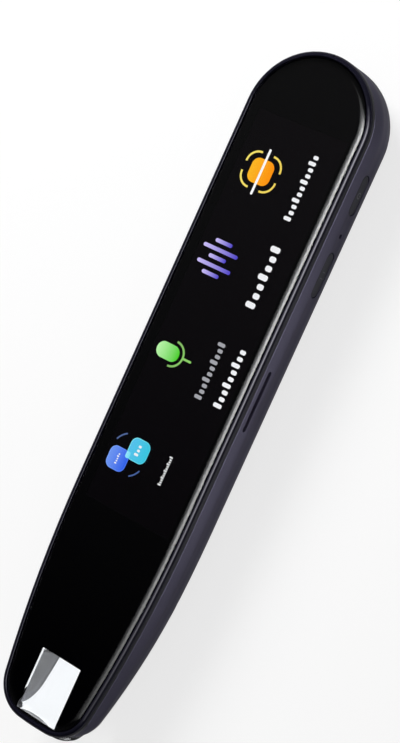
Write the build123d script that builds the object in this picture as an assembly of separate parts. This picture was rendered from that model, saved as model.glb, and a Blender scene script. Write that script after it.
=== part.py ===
from build123d import *
import math
import os

# Handheld translator with a scanning tip. It lies on its back: X runs across the width, with
# the buttons on the +X side, Y runs along the body with the scanning tip at -Y, and Z points
# out of the screen. Millimetres; the origin is under the middle of the body.

# Body outline and section
length = 158.0                # from the round top end to the end of the scan nose
half_width = 15.2
thickness = 16.5              # back to the top of the cover glass
taper_length = 54.0           # stretch at the tip end where the sides draw in
taper_radius = 310.0
tip_corner_radius = 8.5
tip_end_radius = 68.0         # gentle bulge of the end of the tip
back_rise_length = 39.0       # stretch at the tip end where the back rises
back_rise = 5.4               # height of the back at the very tip
back_radius = 7.6             # round between the back and the sides
wall = 1.3
clearance = 0.1               # between pieces that are put together by hand
end_flat = 0.05               # left straight at the ends of keys, their holes and the port

# Front frame, glass and display
frame_height = 2.0            # visible height of the front frame
seam_gap = 0.12
seam_chamfer = 0.15           # on the upper edge of the shell
rim_width = 1.2
rim_radius = 1.0
rim_inner_radius = 0.15       # on the edge next to the glass
ledge_width = 1.45
tongue_depth = 1.4
tongue_thickness = 0.6
frame_notch_width = 0.5       # small vent notch in the rim at the top end
frame_notch_floor = 0.5
glass_thickness = 0.9
glass_edge_radius = 0.6
glass_proud = 0.05            # the glass stands this far above the rim
print_inset = 0.05            # from the edge of the glass to its print
print_thickness = 0.06
tape_thickness = 0.1
display_from_top = 16.1
display_from_tip = 50.9
display_width = 22.8
display_border = 0.9
display_tail_border = 2.4     # extra border at the end that the flex leaves from
panel_thickness = 0.9
backlight_thickness = 0.9
tray_recess = 0.3
guide_gap = 0.4               # from the lit area to the edge of the light guide
window_from_tip = 2.9
window_length = 14.1
window_border = 0.36          # print left beyond the window's corners next to the tip

# Chassis and main board
chassis_thickness = 0.6
chassis_rib = 0.45
board_thickness = 1.0
board_drop = 1.4              # from the chassis to the main board
board_half_width = 9.6
board_inset = 3.0             # from the outside of the body to the board's round end
board_from_tip = 33.0
board_tab_gap = 1.0           # from the side wall to the tab under the card socket
flex_thickness = 0.12
flex_play = 0.5
display_flex_width = 10.0
display_flex_drop = 0.5
display_flex_bend = 1.6
display_flex_foot = 4.0
screw_diameter = 1.4
screw_bite = 0.02
screw_end_gap = 0.3
screw_head_diameter = 2.4
screw_head_height = 0.6
screw_recess_length = 1.4
screw_recess_width = 0.3
screw_recess_depth = 0.25
screw_boss_diameter = 3.2
boss_hole_overrun = 0.4
screw_inset_x = 2.0           # from the long edge of the board
screw_from_top = 15.0
screw_from_board_end = 4.0

# Chips, shields and sockets on the main board
shield_height = 1.2
shield_sheet = 0.2
shield_margin = 0.9
chip_height = 0.8
chip_gap = 1.0
processor_width = 7.0
processor_length = 8.0
memory_width = 5.2
memory_length = 10.0
processor_x = -0.5            # middle of the processor and memory pair
processor_above_card = 20.0
wireless_width = 9.0
wireless_length = 10.0
wireless_x = -1.5
wireless_above_card = 37.0
power_chip_side = 5.0
power_chip_x = -4.5
power_chip_below_card = 15.5
battery_socket_width = 6.0
battery_socket_length = 2.8
battery_socket_height = 1.2
battery_socket_gap = 4.2      # from the end of the battery
camera_socket_width = 9.0
camera_socket_length = 2.4
camera_socket_height = 1.0
camera_socket_from_end = 1.0

# Speaker and its plate
plate_from_top = 11.2
plate_length = 34.8
plate_width = 16.2
plate_thickness = 0.6
plate_proud = 0.1             # the plate stands this far out of the floor of its dish
dish_depth = 0.7
dish_spread = 2.8
plate_ledge = 1.4
plate_chamfer = 0.2
grille_from_top = 21.1
grille_side = 7.4             # side of each of the three rhombs
grille_bar = 1.05
grille_bars = 3
grille_gap = 0.45             # from the edge of a rhomb to its first bar
grille_start = 0.5
grille_end = 0.1
mesh_thickness = 0.15
speaker_width = 15.2
speaker_length = 24.0
speaker_height = 4.0
speaker_wall = 1.0
speaker_mouth_radius = 2.0
speaker_mouth_depth = 1.2
diaphragm_setback = 0.7
diaphragm_thickness = 0.2
dome_height = 0.35
dome_margin = 2.5
gasket_thickness = 0.6
magnet_diameter = 8.6
magnet_setback = 1.3
contact_spacing = 11.0
contact_width = 1.4
contact_sheet = 0.2
contact_from_end = 1.5
contact_top_length = 3.2
contact_foot_length = 2.0
sound_opening_width = 13.2
sound_opening_length = 17.0
sound_opening_radius = 3.0

# Battery
battery_width = 19.0
battery_thickness = 5.5
battery_edge_radius = 1.2
battery_from_top = 52.0
battery_from_tip = 37.0
battery_pad_thickness = 0.8
battery_pad_width = 12.0
battery_pad_inset = 3.0
battery_flex_width = 5.0
battery_flex_bend = 1.6

# Side keys and microphone
key_z = 8.8
key_height = 3.0
key_travel = 0.3
key_play = 0.12
key_recess = 0.05
key_flange = 0.6
key_flange_thickness = 0.5
key_edge_radius = 0.35
power_from_top = 24.9
power_length = 9.0
function_from_top = 43.2
function_length = 10.2
plunger_diameter = 1.4
plunger_length = 1.0
post_length = 0.4
post_diameter = 1.8
switch_length = 5.0
switch_height = 2.6
switch_depth = 1.35
switch_floor = 0.25
switch_gap = 0.2              # left to the switch body when the key is fully pressed
side_flex_margin = 2.6        # past the switches at both ends
side_flex_drop = 2.0
side_tab_length = 4.0
side_tab_overlap = 1.5
bracket_thickness = 0.6
bracket_drop = 2.4
bracket_play = 0.2
microphone_from_top = 34.2
microphone_hole = 1.1
microphone_length = 3.0
microphone_height = 2.2
microphone_depth = 1.0

# Card slot and charging socket
card_from_top = 73.0
card_slot_length = 14.0
card_slot_height = 1.4
card_width = 11.4
card_thickness = 1.0
card_socket_depth = 14.8
card_socket_gap = 0.6         # from the side wall to the socket
card_socket_sheet = 0.2
card_socket_play = 0.15
card_socket_back = 0.6
usb_width = 8.94
usb_height = 3.26
usb_depth = 7.3
usb_sheet = 0.3
usb_recess = 1.0
usb_play = 0.15
usb_ear_reach = 1.4
usb_ear_length = 2.0
usb_ear_from_back = 1.0
usb_ear_sheet = 0.25
usb_tongue_width = 6.6
usb_tongue_thickness = 0.7
usb_tongue_from_back = 0.8
usb_tongue_from_mouth = 0.6
usb_heel_width = 5.6
usb_heel_length = 1.0

# Antenna on the far side wall
antenna_length = 22.0
antenna_height = 3.5
antenna_drop = 0.5            # below the middle of the keys
antenna_gap = 0.05
antenna_below_key = 14.0
antenna_contact_width = 1.6
antenna_contact_below_key = 6.0
antenna_contact_overlap = 1.5
antenna_contact_rise = 1.0

# Scan nose and camera
nose_reach = 0.8              # how far the nose stands out past the frame
nose_length = 16.9
nose_width = 16.0
nose_wall = 1.2
nose_corner = 2.4
nose_play = 0.3
nose_travel = 0.5
nose_top = 12.2
lip_width = 1.4               # lip on each side that keeps the nose in
lip_length = 2.3
lip_drop = 3.0                # from the top of the nose to the top of its lip
stop_length = 1.5             # of the ribs in the shell that hold the lip back
bulkhead_thickness = 1.8
bulkhead_gap = 1.1            # from the lip of the nose to the bulkhead
camera_z = 7.6
barrel_diameter = 6.2
barrel_length = 2.0
lens_diameter = 5.0
lens_thickness = 1.0
lens_seat_depth = 1.4
camera_size = 8.6
camera_length = 5.0
sensor_board_margin = 0.4
sensor_board_thickness = 0.8
camera_flex_width = 8.0
camera_flex_start = 2.0
light_board_thickness = 0.4
light_board_margin = 1.8
light_board_drop = 0.6
led_size = 1.6
led_height = 0.7
led_spacing = 12.4
led_above_lens = 2.0
spring_diameter = 1.9
spring_wire = 0.25
spring_coils = 3
spring_spacing = 11.0
spring_pocket_floor = 0.4
spring_pocket_play = 0.2
spring_end_gap = 0.05
spring_lift = 0.4             # above the middle of the lip's wall
tip_switch_width = 3.0
tip_switch_height = 1.4
tip_switch_depth = 1.5
tip_switch_lift = 0.35
tip_switch_setback = 0.2
tip_plunger_diameter = 0.8
tip_plunger_depth = 0.9
tip_plunger_bore = 1.6

# Places worked out from the sizes
top_y = length / 2
tip_y = -length / 2
frame_tip_y = tip_y + nose_reach
taper_y = tip_y + taper_length
rise_y = tip_y + back_rise_length
rise_radius = (back_rise_length ** 2 + back_rise ** 2) / (2 * back_rise)
seam_z = thickness - frame_height
glass_z = thickness - glass_thickness
print_z = glass_z - print_thickness
ledge_z = print_z - tape_thickness
frame_z = seam_z + seam_gap
glass_inset = rim_width + clearance
tongue_inset = wall + clearance
chassis_inset = tongue_inset + tongue_thickness + clearance
panel_z = print_z - tape_thickness - panel_thickness
backlight_z = panel_z - backlight_thickness
chassis_z = backlight_z - chassis_thickness
board_top_z = chassis_z - board_drop
board_z = board_top_z - board_thickness
display_length = length - display_from_top - display_from_tip
display_y = top_y - display_from_top - display_length / 2
display_tail_y = display_y - display_length / 2 - display_border - display_tail_border
flex_fall_y = display_tail_y - display_flex_bend
window_y = tip_y + window_from_tip + window_length / 2
plate_y = top_y - plate_from_top - plate_length / 2
plate_z = dish_depth - plate_proud
plate_back_z = plate_z + plate_thickness
pad_z = plate_back_z + plate_ledge
grille_y = top_y - grille_from_top
speaker_z = pad_z + gasket_thickness
board_end_y = tip_y + board_from_tip
battery_length = length - battery_from_top - battery_from_tip
battery_y = tip_y + battery_from_tip + battery_length / 2
battery_end_y = battery_y + battery_length / 2
battery_z = wall + battery_pad_thickness
key_inner_x = half_width - wall - key_play - key_flange_thickness
plunger_x = key_inner_x - post_length
switch_x = plunger_x - key_travel - switch_gap
flex_x = switch_x - switch_depth
bracket_x = flex_x - flex_thickness
microphone_y = top_y - microphone_from_top
card_y = top_y - card_from_top
card_z = board_top_z + card_slot_height / 2 - clearance
usb_z = board_z + board_thickness / 2
usb_mouth_y = top_y - usb_recess
nose_back_y = tip_y + nose_length
lip_back_y = nose_back_y + lip_length
bulkhead_y = lip_back_y + bulkhead_gap
bulkhead_back_y = bulkhead_y + bulkhead_thickness
lip_inset = wall + nose_play
chips_width = processor_width + chip_gap + memory_width


def block(x, y, z):
    """Box between the given pairs of X, Y and Z."""
    size = (x[1] - x[0], y[1] - y[0], z[1] - z[0])
    middle = ((x[0] + x[1]) / 2, (y[0] + y[1]) / 2, (z[0] + z[1]) / 2)
    return Pos(*middle) * Box(*size)


def slab(face, low, high):
    """Flat piece with the given plan, between two heights."""
    return Pos(0, 0, low) * extrude(face, high - low)


def rod_y(x, z, radius, low, high):
    """Round rod along Y."""
    return Pos(x, (low + high) / 2, z) * Rot(90, 0, 0) * Cylinder(radius, high - low)


def rod_x(y, z, radius, low, high):
    """Round rod along X."""
    return Pos((low + high) / 2, y, z) * Rot(0, 90, 0) * Cylinder(radius, high - low)


def stadium(width, overall, y):
    """Plan of a slot with round ends, along Y."""
    return Pos(0, y) * SlotOverall(overall, width, rotation=90)


def tip_corner(inset):
    """Sharp corner where the drawn-in side meets the end of the tip."""
    side = Vector(half_width - taper_radius, taper_y)
    end = Vector(0, frame_tip_y + tip_end_radius)
    side_radius = taper_radius - inset
    end_radius = tip_end_radius - inset
    apart = end - side
    along = (side_radius ** 2 - end_radius ** 2 + apart.length ** 2) / (2 * apart.length)
    off = math.sqrt(side_radius ** 2 - along ** 2)
    way = apart.normalized()
    return side + way * along + Vector(way.Y, -way.X) * off


def outline(inset=0.0):
    """Plan of the body, drawn in by inset: round top end, sides that draw in to the tip."""
    centre_y = top_y - half_width
    side_x = half_width - inset
    corner = tip_corner(inset)
    turn = math.asin((taper_y - corner.Y) / (taper_radius - inset)) / 2
    mid_x = half_width - taper_radius + (taper_radius - inset) * math.cos(turn)
    mid_y = taper_y - (taper_radius - inset) * math.sin(turn)
    edges = [
        ThreePointArc((-side_x, centre_y), (0, top_y - inset), (side_x, centre_y)),
        Line((side_x, centre_y), (side_x, taper_y)),
        ThreePointArc((side_x, taper_y), (mid_x, mid_y), (corner.X, corner.Y)),
        ThreePointArc((corner.X, corner.Y), (0, frame_tip_y + inset), (-corner.X, corner.Y)),
        ThreePointArc((-corner.X, corner.Y), (-mid_x, mid_y), (-side_x, taper_y)),
        Line((-side_x, taper_y), (-side_x, centre_y)),
    ]
    plan = make_face(edges)
    corners = plan.vertices().sort_by(Axis.Y)[:2]
    return fillet(corners, tip_corner_radius - inset)


def ring(outer_inset, inner_inset):
    """Plan of a band that follows the body outline."""
    return outline(outer_inset) - outline(inner_inset)


def back_height(y, inset=0.0):
    """Height of the back surface on the middle line at y."""
    run = max(0.0, rise_y - y)
    return rise_radius - math.sqrt((rise_radius - inset) ** 2 - run ** 2)


def side_profile(inset=0.0):
    """Body seen from the side, whose back rises in an arc to the tip."""
    end_y = tip_y - wall
    mid_y = (rise_y + end_y) / 2
    high = 2 * thickness
    arc = ThreePointArc(
        (0, rise_y, back_height(rise_y, inset)),
        (0, mid_y, back_height(mid_y, inset)),
        (0, end_y, back_height(end_y, inset)),
    )
    sides = Polyline(
        (0, end_y, back_height(end_y, inset)),
        (0, end_y, high),
        (0, top_y + wall, high),
        (0, top_y + wall, inset),
        (0, rise_y, inset),
    )
    return Face(Wire(arc.edges() + sides.edges()))


def body_form(inset=0.0, top=seam_z):
    """Solid form of the body up to a height, drawn in by inset all round and at the back."""
    form = extrude(outline(inset), top) & extrude(side_profile(inset), 2 * half_width, both=True)
    rim = []
    for edge in form.edges():
        spots = [edge.position_at(share) for share in (0.1, 0.5, 0.9)]
        low = all(abs(spot.Z - back_height(spot.Y, inset)) < 0.02 for spot in spots)
        across = edge.geom_type == GeomType.LINE and abs(edge.tangent_at(0.5).X) > 0.9
        if low and not across:
            rim.append(edge)
    return fillet(rim, back_radius - inset)


def nose_plan(margin=0.0):
    """Plan of the scan nose, wider by margin, which runs out past the tip."""
    half = nose_width / 2 + margin
    back = nose_back_y + 2 * margin
    front = tip_y - nose_length
    plan = Pos(0, (back + front) / 2) * Rectangle(2 * half, back - front)
    corners = plan.vertices().sort_by(Axis.Y)[-2:]
    return fillet(corners, nose_corner + margin)


def dish():
    """Soft hollow in the back around the speaker plate."""
    steps = ((-0.05, 1.0), (0.17, 0.68), (0.83, 0.32), (1.0, 0.1))
    sections = []
    for depth_share, spread_share in steps:
        spread = 2 * (clearance + dish_spread * spread_share)
        plan = stadium(plate_width + spread, plate_length + spread, plate_y)
        sections.append(Pos(0, 0, dish_depth * depth_share) * plan)
    return loft(sections)


def long_round(run, height):
    """Rounded plan of a key or a port, with short straight ends."""
    return RectangleRounded(run, height, height / 2 - end_flat)


def key_opening(from_top, key_length):
    """Hole in the side wall for one key."""
    plan = Plane.YZ * long_round(key_length + 2 * key_play, key_height + 2 * key_play)
    return Pos(half_width - 2 * wall, top_y - from_top, key_z) * extrude(plan, 3 * wall)


def sound_opening(margin=0.0):
    """Plan of the hole between the speaker and its plate."""
    size = (sound_opening_width - 2 * margin, sound_opening_length - 2 * margin)
    return Pos(0, grille_y) * RectangleRounded(*size, sound_opening_radius)


def rear_shell():
    """Moulded back and sides."""
    shell = body_form()
    shell = chamfer(shell.faces().sort_by(Axis.Z)[-1].edges(), seam_chamfer)
    shell -= body_form(wall, seam_z + 1)
    pad_plan = stadium(plate_width + 2 * wall, plate_length + 2 * wall, plate_y)
    shell += slab(pad_plan, wall / 2, pad_z) & body_form(wall / 2)
    shell -= dish()
    pocket = stadium(plate_width + clearance, plate_length + clearance, plate_y)
    shell -= slab(pocket, plate_z, plate_back_z)
    shell -= slab(sound_opening(), plate_z, pad_z + 1)
    shell -= key_opening(power_from_top, power_length)
    shell -= key_opening(function_from_top, function_length)
    through = (half_width - 2 * wall, half_width + wall)
    shell -= rod_x(microphone_y, key_z, microphone_hole / 2, *through)
    slot = Plane.YZ * SlotOverall(card_slot_length, card_slot_height)
    shell -= Pos(through[0], card_y, card_z) * extrude(slot, 3 * wall)
    port = Plane.XZ * long_round(usb_width + 2 * usb_play, usb_height + 2 * usb_play)
    shell -= Pos(0, top_y + wall, usb_z) * extrude(port, 4 * wall)
    stop = body_form(wall / 2) - body_form(wall + nose_wall + nose_play, seam_z + 1)
    half = nose_width / 2 + nose_play
    stop_end_y = nose_back_y - nose_wall - clearance
    stop_y = (stop_end_y - stop_length, stop_end_y)
    for side in (-1, 1):
        reach = sorted((side * (half - wall), side * (half + lip_width)))
        shell += stop & block(reach, stop_y, (0, nose_top))
    shell -= slab(nose_plan(nose_play), 0, nose_top + nose_play)
    return shell


def front_frame():
    """Glossy frame round the glass, with a tongue that plugs into the shell."""
    rim = slab(outline(), frame_z, thickness - glass_proud)
    rim = fillet(rim.faces().sort_by(Axis.Z)[-1].edges(), rim_radius)
    rim -= slab(outline(rim_width), ledge_z, thickness + 1)
    inner = rim.faces().sort_by(Axis.Z)[-1].inner_wires()[0]
    rim = fillet(inner.edges(), rim_inner_radius)
    rim -= slab(outline(rim_width + ledge_width), frame_z - 1, thickness)
    rim += slab(ring(tongue_inset, tongue_inset + tongue_thickness), frame_z - tongue_depth,
                frame_z)
    window = (window_width() / 2 + 2 * clearance, window_y - window_length / 2 - 2 * clearance)
    rim -= block((-window[0], window[0]), (window[1], window_y), (0, thickness + 1))
    notch = frame_notch_width / 2
    notch_z = (frame_z + frame_notch_floor, thickness)
    rim -= block((-notch, notch), (top_y - rim_width / 2, top_y + 1), notch_z)
    return rim


def cover_glass():
    """Flat glass with rounded edges over the whole front."""
    glass = slab(outline(glass_inset), glass_z, thickness)
    return fillet(glass.faces().sort_by(Axis.Z)[-1].edges(), glass_edge_radius)


def display_plan(margin=0.0, tail=0.0):
    """Plan of the lit area, wider by margin, with more at the tail end."""
    size = (display_width + 2 * margin, display_length + 2 * margin + tail)
    return Pos(0, display_y - tail / 2) * Rectangle(*size)


def window_width():
    """Width that leaves a border of print beyond the window's corners next to the tip."""
    turn = tip_corner(tip_corner_radius)
    reach = tip_corner_radius - glass_inset - print_inset - window_border
    drop = turn.Y - tip_y - window_from_tip
    return 2 * (turn.X + math.sqrt(reach ** 2 - drop ** 2))


def window_plan(margin=0.0):
    """Plan of the clear window over the scan nose."""
    size = (window_width() + 2 * margin, window_length + 2 * margin)
    return Pos(0, window_y) * Rectangle(*size)


def glass_print():
    """Black print on the inside of the glass, open over the display and the nose."""
    plan = outline(glass_inset + print_inset) - display_plan(clearance) - window_plan()
    return slab(plan, print_z, glass_z)


def glass_adhesive():
    """Adhesive between the glass and the ledge of the frame."""
    before_window = window_from_tip - nose_reach - 2 * clearance
    return slab(ring(glass_inset + print_inset, before_window), ledge_z, print_z)


def display_tape():
    """Foam tape round the display."""
    plan = display_plan(display_border, display_tail_border) - display_plan(clearance)
    return slab(plan, panel_z + panel_thickness, print_z)


def display_panel():
    """Liquid crystal panel."""
    return slab(display_plan(display_border, display_tail_border), panel_z,
                panel_z + panel_thickness)


def display_backlight():
    """Light guide in its tray behind the panel."""
    tray = display_plan(display_border - clearance, display_tail_border)
    recess = display_plan(2 * clearance, display_tail_border)
    form = slab(tray, backlight_z, panel_z) - slab(recess, panel_z - tray_recess, panel_z)
    return form + slab(display_plan(-guide_gap), panel_z - tray_recess - clearance, panel_z)


def display_flex():
    """Flex from the display, down through the chassis, to the main board."""
    width = (-display_flex_width / 2, display_flex_width / 2)
    fall_y = (flex_fall_y - flex_thickness, flex_fall_y)
    top_z = panel_z - display_flex_drop
    top = block(width, (flex_fall_y, display_tail_y), (top_z, top_z + flex_thickness))
    fall = block(width, fall_y, (board_top_z, top_z + flex_thickness))
    foot_y = (flex_fall_y - display_flex_foot, fall_y[0])
    foot = block(width, foot_y, (board_top_z, board_top_z + flex_thickness))
    return top + fall + foot


def inner_chassis():
    """Moulded carrier for the display, with bosses for the main board."""
    plan = outline(chassis_inset)
    chassis = slab(plan, chassis_z, chassis_z + chassis_thickness)
    rib = ring(chassis_inset, chassis_inset + chassis_rib)
    chassis += slab(rib, chassis_z, frame_z)
    chassis -= block((-half_width, half_width), (tip_y - 1, bulkhead_y), (0, thickness))
    half = display_flex_width / 2 + flex_play
    flex_room = (flex_fall_y - flex_thickness - flex_play, flex_fall_y + flex_play)
    chassis -= block((-half, half), flex_room, (0, thickness))
    for x, y in screw_spots():
        boss = Cylinder(screw_boss_diameter / 2, board_drop)
        chassis += Pos(x, y, chassis_z - board_drop / 2) * boss
    for x, y in screw_spots():
        hole = Cylinder(screw_diameter / 2 + screw_bite, board_drop + boss_hole_overrun)
        chassis -= Pos(x, y, chassis_z - board_drop / 2 + boss_hole_overrun / 2) * hole
    return chassis


def screw_spots():
    """Places of the board screws."""
    x = board_half_width - screw_inset_x
    rows = (top_y - screw_from_top, board_end_y + screw_from_board_end)
    return [(side * x, y) for y in rows for side in (-1, 1)]


def main_board():
    """Printed circuit board."""
    plan = outline(board_inset) & Rectangle(2 * board_half_width, length)
    board = slab(plan, board_z, board_top_z)
    board -= block((-half_width, half_width), (tip_y - 1, board_end_y), (0, thickness))
    tab_y = (card_y - card_slot_length / 2, card_y + card_slot_length / 2)
    board += block((0, half_width - wall - board_tab_gap), tab_y, (board_z, board_top_z))
    notch_y = usb_mouth_y - usb_depth - clearance
    notch_x = usb_width / 2 + clearance
    board -= block((-notch_x, notch_x), (notch_y, top_y), (0, thickness))
    for x, y in screw_spots():
        board -= Pos(x, y, board_z) * Cylinder(screw_diameter / 2 + clearance, 4 * board_thickness)
    return board


def board_screws():
    """Four pan head screws that hold the board to the chassis."""
    shank_length = board_thickness + board_drop - screw_end_gap
    screws = []
    for x, y in screw_spots():
        head = Pos(x, y, board_z - screw_head_height / 2) * Cylinder(
            screw_head_diameter / 2, screw_head_height)
        head = fillet(head.edges().sort_by(Axis.Z)[0], screw_head_height / 2)
        for turn in (0, 90):
            arm = Box(screw_recess_length, screw_recess_width, 2 * screw_recess_depth)
            head -= Pos(x, y, board_z - screw_head_height) * Rot(0, 0, turn) * arm
        shank = Pos(x, y, board_z + shank_length / 2) * Cylinder(screw_diameter / 2, shank_length)
        screws.append(head + shank)
    return Compound(children=screws)


def on_board(x, y, width, run, height):
    """Box that stands on the main board, round the given middle."""
    return block((x - width / 2, x + width / 2), (y - run / 2, y + run / 2),
                 (board_top_z, board_top_z + height))


def under_board(width, y, height):
    """Box that hangs under the main board, on the middle line."""
    return block((-width / 2, width / 2), y, (board_z - height, board_z))


def shield(x, y, width, run):
    """Thin steel can over chips on the main board, open below."""
    room = on_board(x, y, width - 2 * shield_sheet, run - 2 * shield_sheet,
                    shield_height - shield_sheet)
    return on_board(x, y, width, run, shield_height) - room


def processor_shield():
    """Shield over the processor and the memory."""
    y = card_y + processor_above_card
    run = max(processor_length, memory_length) + 2 * shield_margin
    return shield(processor_x, y, chips_width + 2 * shield_margin, run)


def processor():
    """Processor package, beside the memory."""
    x = processor_x - (chips_width - processor_width) / 2
    return on_board(x, card_y + processor_above_card, processor_width, processor_length, chip_height)


def memory_chip():
    """Memory package."""
    x = processor_x + (chips_width - memory_width) / 2
    return on_board(x, card_y + processor_above_card, memory_width, memory_length, chip_height)


def wireless_shield():
    """Shield over the wireless chips."""
    return shield(wireless_x, card_y + wireless_above_card, wireless_width, wireless_length)


def power_chip():
    """Chip that charges the battery."""
    y = card_y - power_chip_below_card
    return on_board(power_chip_x, y, power_chip_side, power_chip_side, chip_height)


def battery_socket_y():
    """Stretch along Y of the battery's socket."""
    low = battery_end_y + battery_socket_gap
    return (low, low + battery_socket_length)


def camera_socket_y():
    """Stretch along Y of the camera's socket."""
    low = board_end_y + camera_socket_from_end
    return (low, low + camera_socket_length)


def board_connectors():
    """Sockets under the board for the battery and the camera."""
    sockets = [
        under_board(battery_socket_width, battery_socket_y(), battery_socket_height),
        under_board(camera_socket_width, camera_socket_y(), camera_socket_height),
    ]
    return Compound(children=sockets)


def battery():
    """Flat lithium pouch cell."""
    cell = Pos(0, battery_y, battery_z + battery_thickness / 2) * Box(
        battery_width, battery_length, battery_thickness)
    return fillet(cell.edges().filter_by(Axis.Y), battery_edge_radius)


def battery_pad():
    """Foam tape between the battery and the shell."""
    half = battery_pad_width / 2
    low = max(battery_y - battery_length / 2, rise_y) + battery_pad_inset
    return block((-half, half), (low, battery_end_y - battery_pad_inset), (wall, battery_z))


def battery_flex():
    """Flat lead from the battery up to its socket."""
    width = (-battery_flex_width / 2, battery_flex_width / 2)
    bend_y = battery_end_y + battery_flex_bend
    low = battery_z + battery_thickness / 2
    high = board_z - battery_socket_height
    out = block(width, (battery_end_y, bend_y), (low, low + flex_thickness))
    rise = block(width, (bend_y, bend_y + flex_thickness), (low, high))
    end_y = battery_socket_y()[1] - clearance
    end = block(width, (bend_y, end_y), (high - flex_thickness, high))
    return out + rise + end


def grille_slots():
    """Slots of the speaker plate: three groups of bars, each filling a third of a hexagon."""
    pitch = (grille_side - grille_bar / 2) / grille_bars
    bar_run = grille_bar / math.sin(math.radians(60))
    bars = []
    for group in range(3):
        along = math.radians(60 + 120 * group)
        across = math.radians(180 + 120 * group)
        for number in range(grille_bars):
            low = grille_gap + number * pitch
            ends = (grille_start, grille_side - grille_end)
            spots = ((ends[0], low), (ends[1], low), (ends[1], low + bar_run),
                     (ends[0], low + bar_run))
            corners = []
            for u, shift in spots:
                x = u * math.cos(along) + shift * math.cos(across)
                y = u * math.sin(along) + shift * math.sin(across)
                corners.append((-x, grille_y + y))
            bar = make_face(Polyline(*corners, close=True))
            bars.append(slab(bar, plate_z - 1, plate_back_z + 1))
    return bars


def speaker_plate():
    """Brushed metal plate with the grille slots."""
    plate = slab(stadium(plate_width, plate_length, plate_y), plate_z, plate_back_z)
    plate = chamfer(plate.faces().sort_by(Axis.Z)[0].edges(), plate_chamfer)
    for bar in grille_slots():
        plate -= bar
    return plate


def speaker_mesh():
    """Dust cloth behind the grille."""
    return slab(sound_opening(clearance), plate_back_z, plate_back_z + mesh_thickness)


def speaker_gasket():
    """Foam ring that seals the speaker to the shell."""
    outer = Pos(0, grille_y) * Rectangle(speaker_width, speaker_length)
    return slab(outer - sound_opening(-clearance), pad_z, speaker_z)


def speaker_frame():
    """Plastic basket of the speaker."""
    basket = Pos(0, grille_y, speaker_z + speaker_height / 2) * Box(
        speaker_width, speaker_length, speaker_height)
    mouth = Pos(0, grille_y) * RectangleRounded(
        speaker_width - 2 * speaker_wall, speaker_length - 2 * speaker_wall, speaker_mouth_radius)
    basket -= slab(mouth, speaker_z - 1, speaker_z + speaker_mouth_depth)
    basket -= Pos(0, grille_y, speaker_z + speaker_height / 2) * Cylinder(
        magnet_diameter / 2 + clearance / 2, speaker_height)
    return basket


def speaker_diaphragm():
    """Thin membrane with a raised middle."""
    low = speaker_z + diaphragm_setback
    width = speaker_width - 2 * speaker_wall - clearance
    run = speaker_length - 2 * speaker_wall - clearance
    skin = RectangleRounded(width, run, speaker_mouth_radius - clearance / 2)
    dome = RectangleRounded(width - 2 * dome_margin, run - 2 * dome_margin, speaker_mouth_radius)
    form = slab(Pos(0, grille_y) * skin, low, low + diaphragm_thickness)
    return form + slab(Pos(0, grille_y) * dome, low - dome_height, low)


def speaker_magnet():
    """Round magnet and yoke in the basket."""
    low = speaker_z + magnet_setback
    high = speaker_z + speaker_height
    return Pos(0, grille_y, (low + high) / 2) * Cylinder(magnet_diameter / 2, high - low)


def spring_contacts():
    """Two bent leaf contacts between the board and the speaker."""
    low = speaker_z + speaker_height
    y = grille_y - speaker_length / 2 + contact_from_end
    half = contact_width / 2
    fingers = []
    for x in (-contact_spacing / 2, contact_spacing / 2):
        width = (x - half, x + half)
        top = block(width, (y, y + contact_top_length), (board_z - contact_sheet, board_z))
        leg = block(width, (y, y + contact_sheet), (low, board_z))
        foot = block(width, (y, y + contact_foot_length), (low, low + contact_sheet))
        fingers.append(top + leg + foot)
    return Compound(children=fingers)


def key_button(from_top, key_length):
    """Key cap with the flange that keeps it in the shell and the post behind it."""
    y = top_y - from_top
    back_x = key_inner_x + key_flange_thickness
    face_x = half_width - key_recess
    cap = extrude(Plane.YZ * long_round(key_length, key_height), face_x - back_x)
    cap = fillet(cap.faces().sort_by(Axis.X)[-1].edges(), key_edge_radius)
    flange = Plane.YZ * RectangleRounded(
        key_length + 2 * key_flange, key_height + 2 * key_flange, key_height / 2)
    button = Pos(back_x, y, key_z) * cap
    button += Pos(key_inner_x, y, key_z) * extrude(flange, key_flange_thickness)
    return button + rod_x(y, key_z, post_diameter / 2, plunger_x, key_inner_x)


def switch_plunger(from_top):
    """Moving pin of one side switch."""
    return rod_x(top_y - from_top, key_z, plunger_diameter / 2, plunger_x - plunger_length, plunger_x)


def side_switch(from_top):
    """Body of one side switch, with a bore for its plunger."""
    y = top_y - from_top
    half = switch_length / 2
    body = block((flex_x, switch_x), (y - half, y + half),
                 (key_z - switch_height / 2, key_z + switch_height / 2))
    bore = plunger_diameter / 2 + clearance
    return body - rod_x(y, key_z, bore, flex_x + switch_floor, switch_x + 1)


def key_span():
    """Stretch along Y that both side switches and the microphone take up."""
    reach = switch_length / 2 + side_flex_margin
    return (top_y - function_from_top - reach, top_y - power_from_top + reach)


def side_tab_y(margin=0.0):
    """Stretch along Y of the flex's tab, wider by margin."""
    half = side_tab_length / 2 + margin
    return (microphone_y - half, microphone_y + half)


def side_key_flex():
    """Flex behind the side switches, with a tab onto the main board."""
    low, high = key_span()
    high_z = board_top_z + flex_thickness
    strip = block((bracket_x, flex_x), (low, high), (key_z - side_flex_drop, high_z))
    reach = (board_half_width - side_tab_overlap, bracket_x)
    return strip + block(reach, side_tab_y(), (board_top_z, high_z))


def side_key_bracket():
    """Steel plate that backs the side switches, fixed under the chassis."""
    low, high = key_span()
    plate = block((bracket_x - bracket_thickness, bracket_x), (low, high),
                  (key_z - bracket_drop, chassis_z))
    gap_z = (board_top_z - bracket_play, board_top_z + flex_thickness + bracket_play)
    return plate - block((0, half_width), side_tab_y(bracket_play), gap_z)


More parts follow.
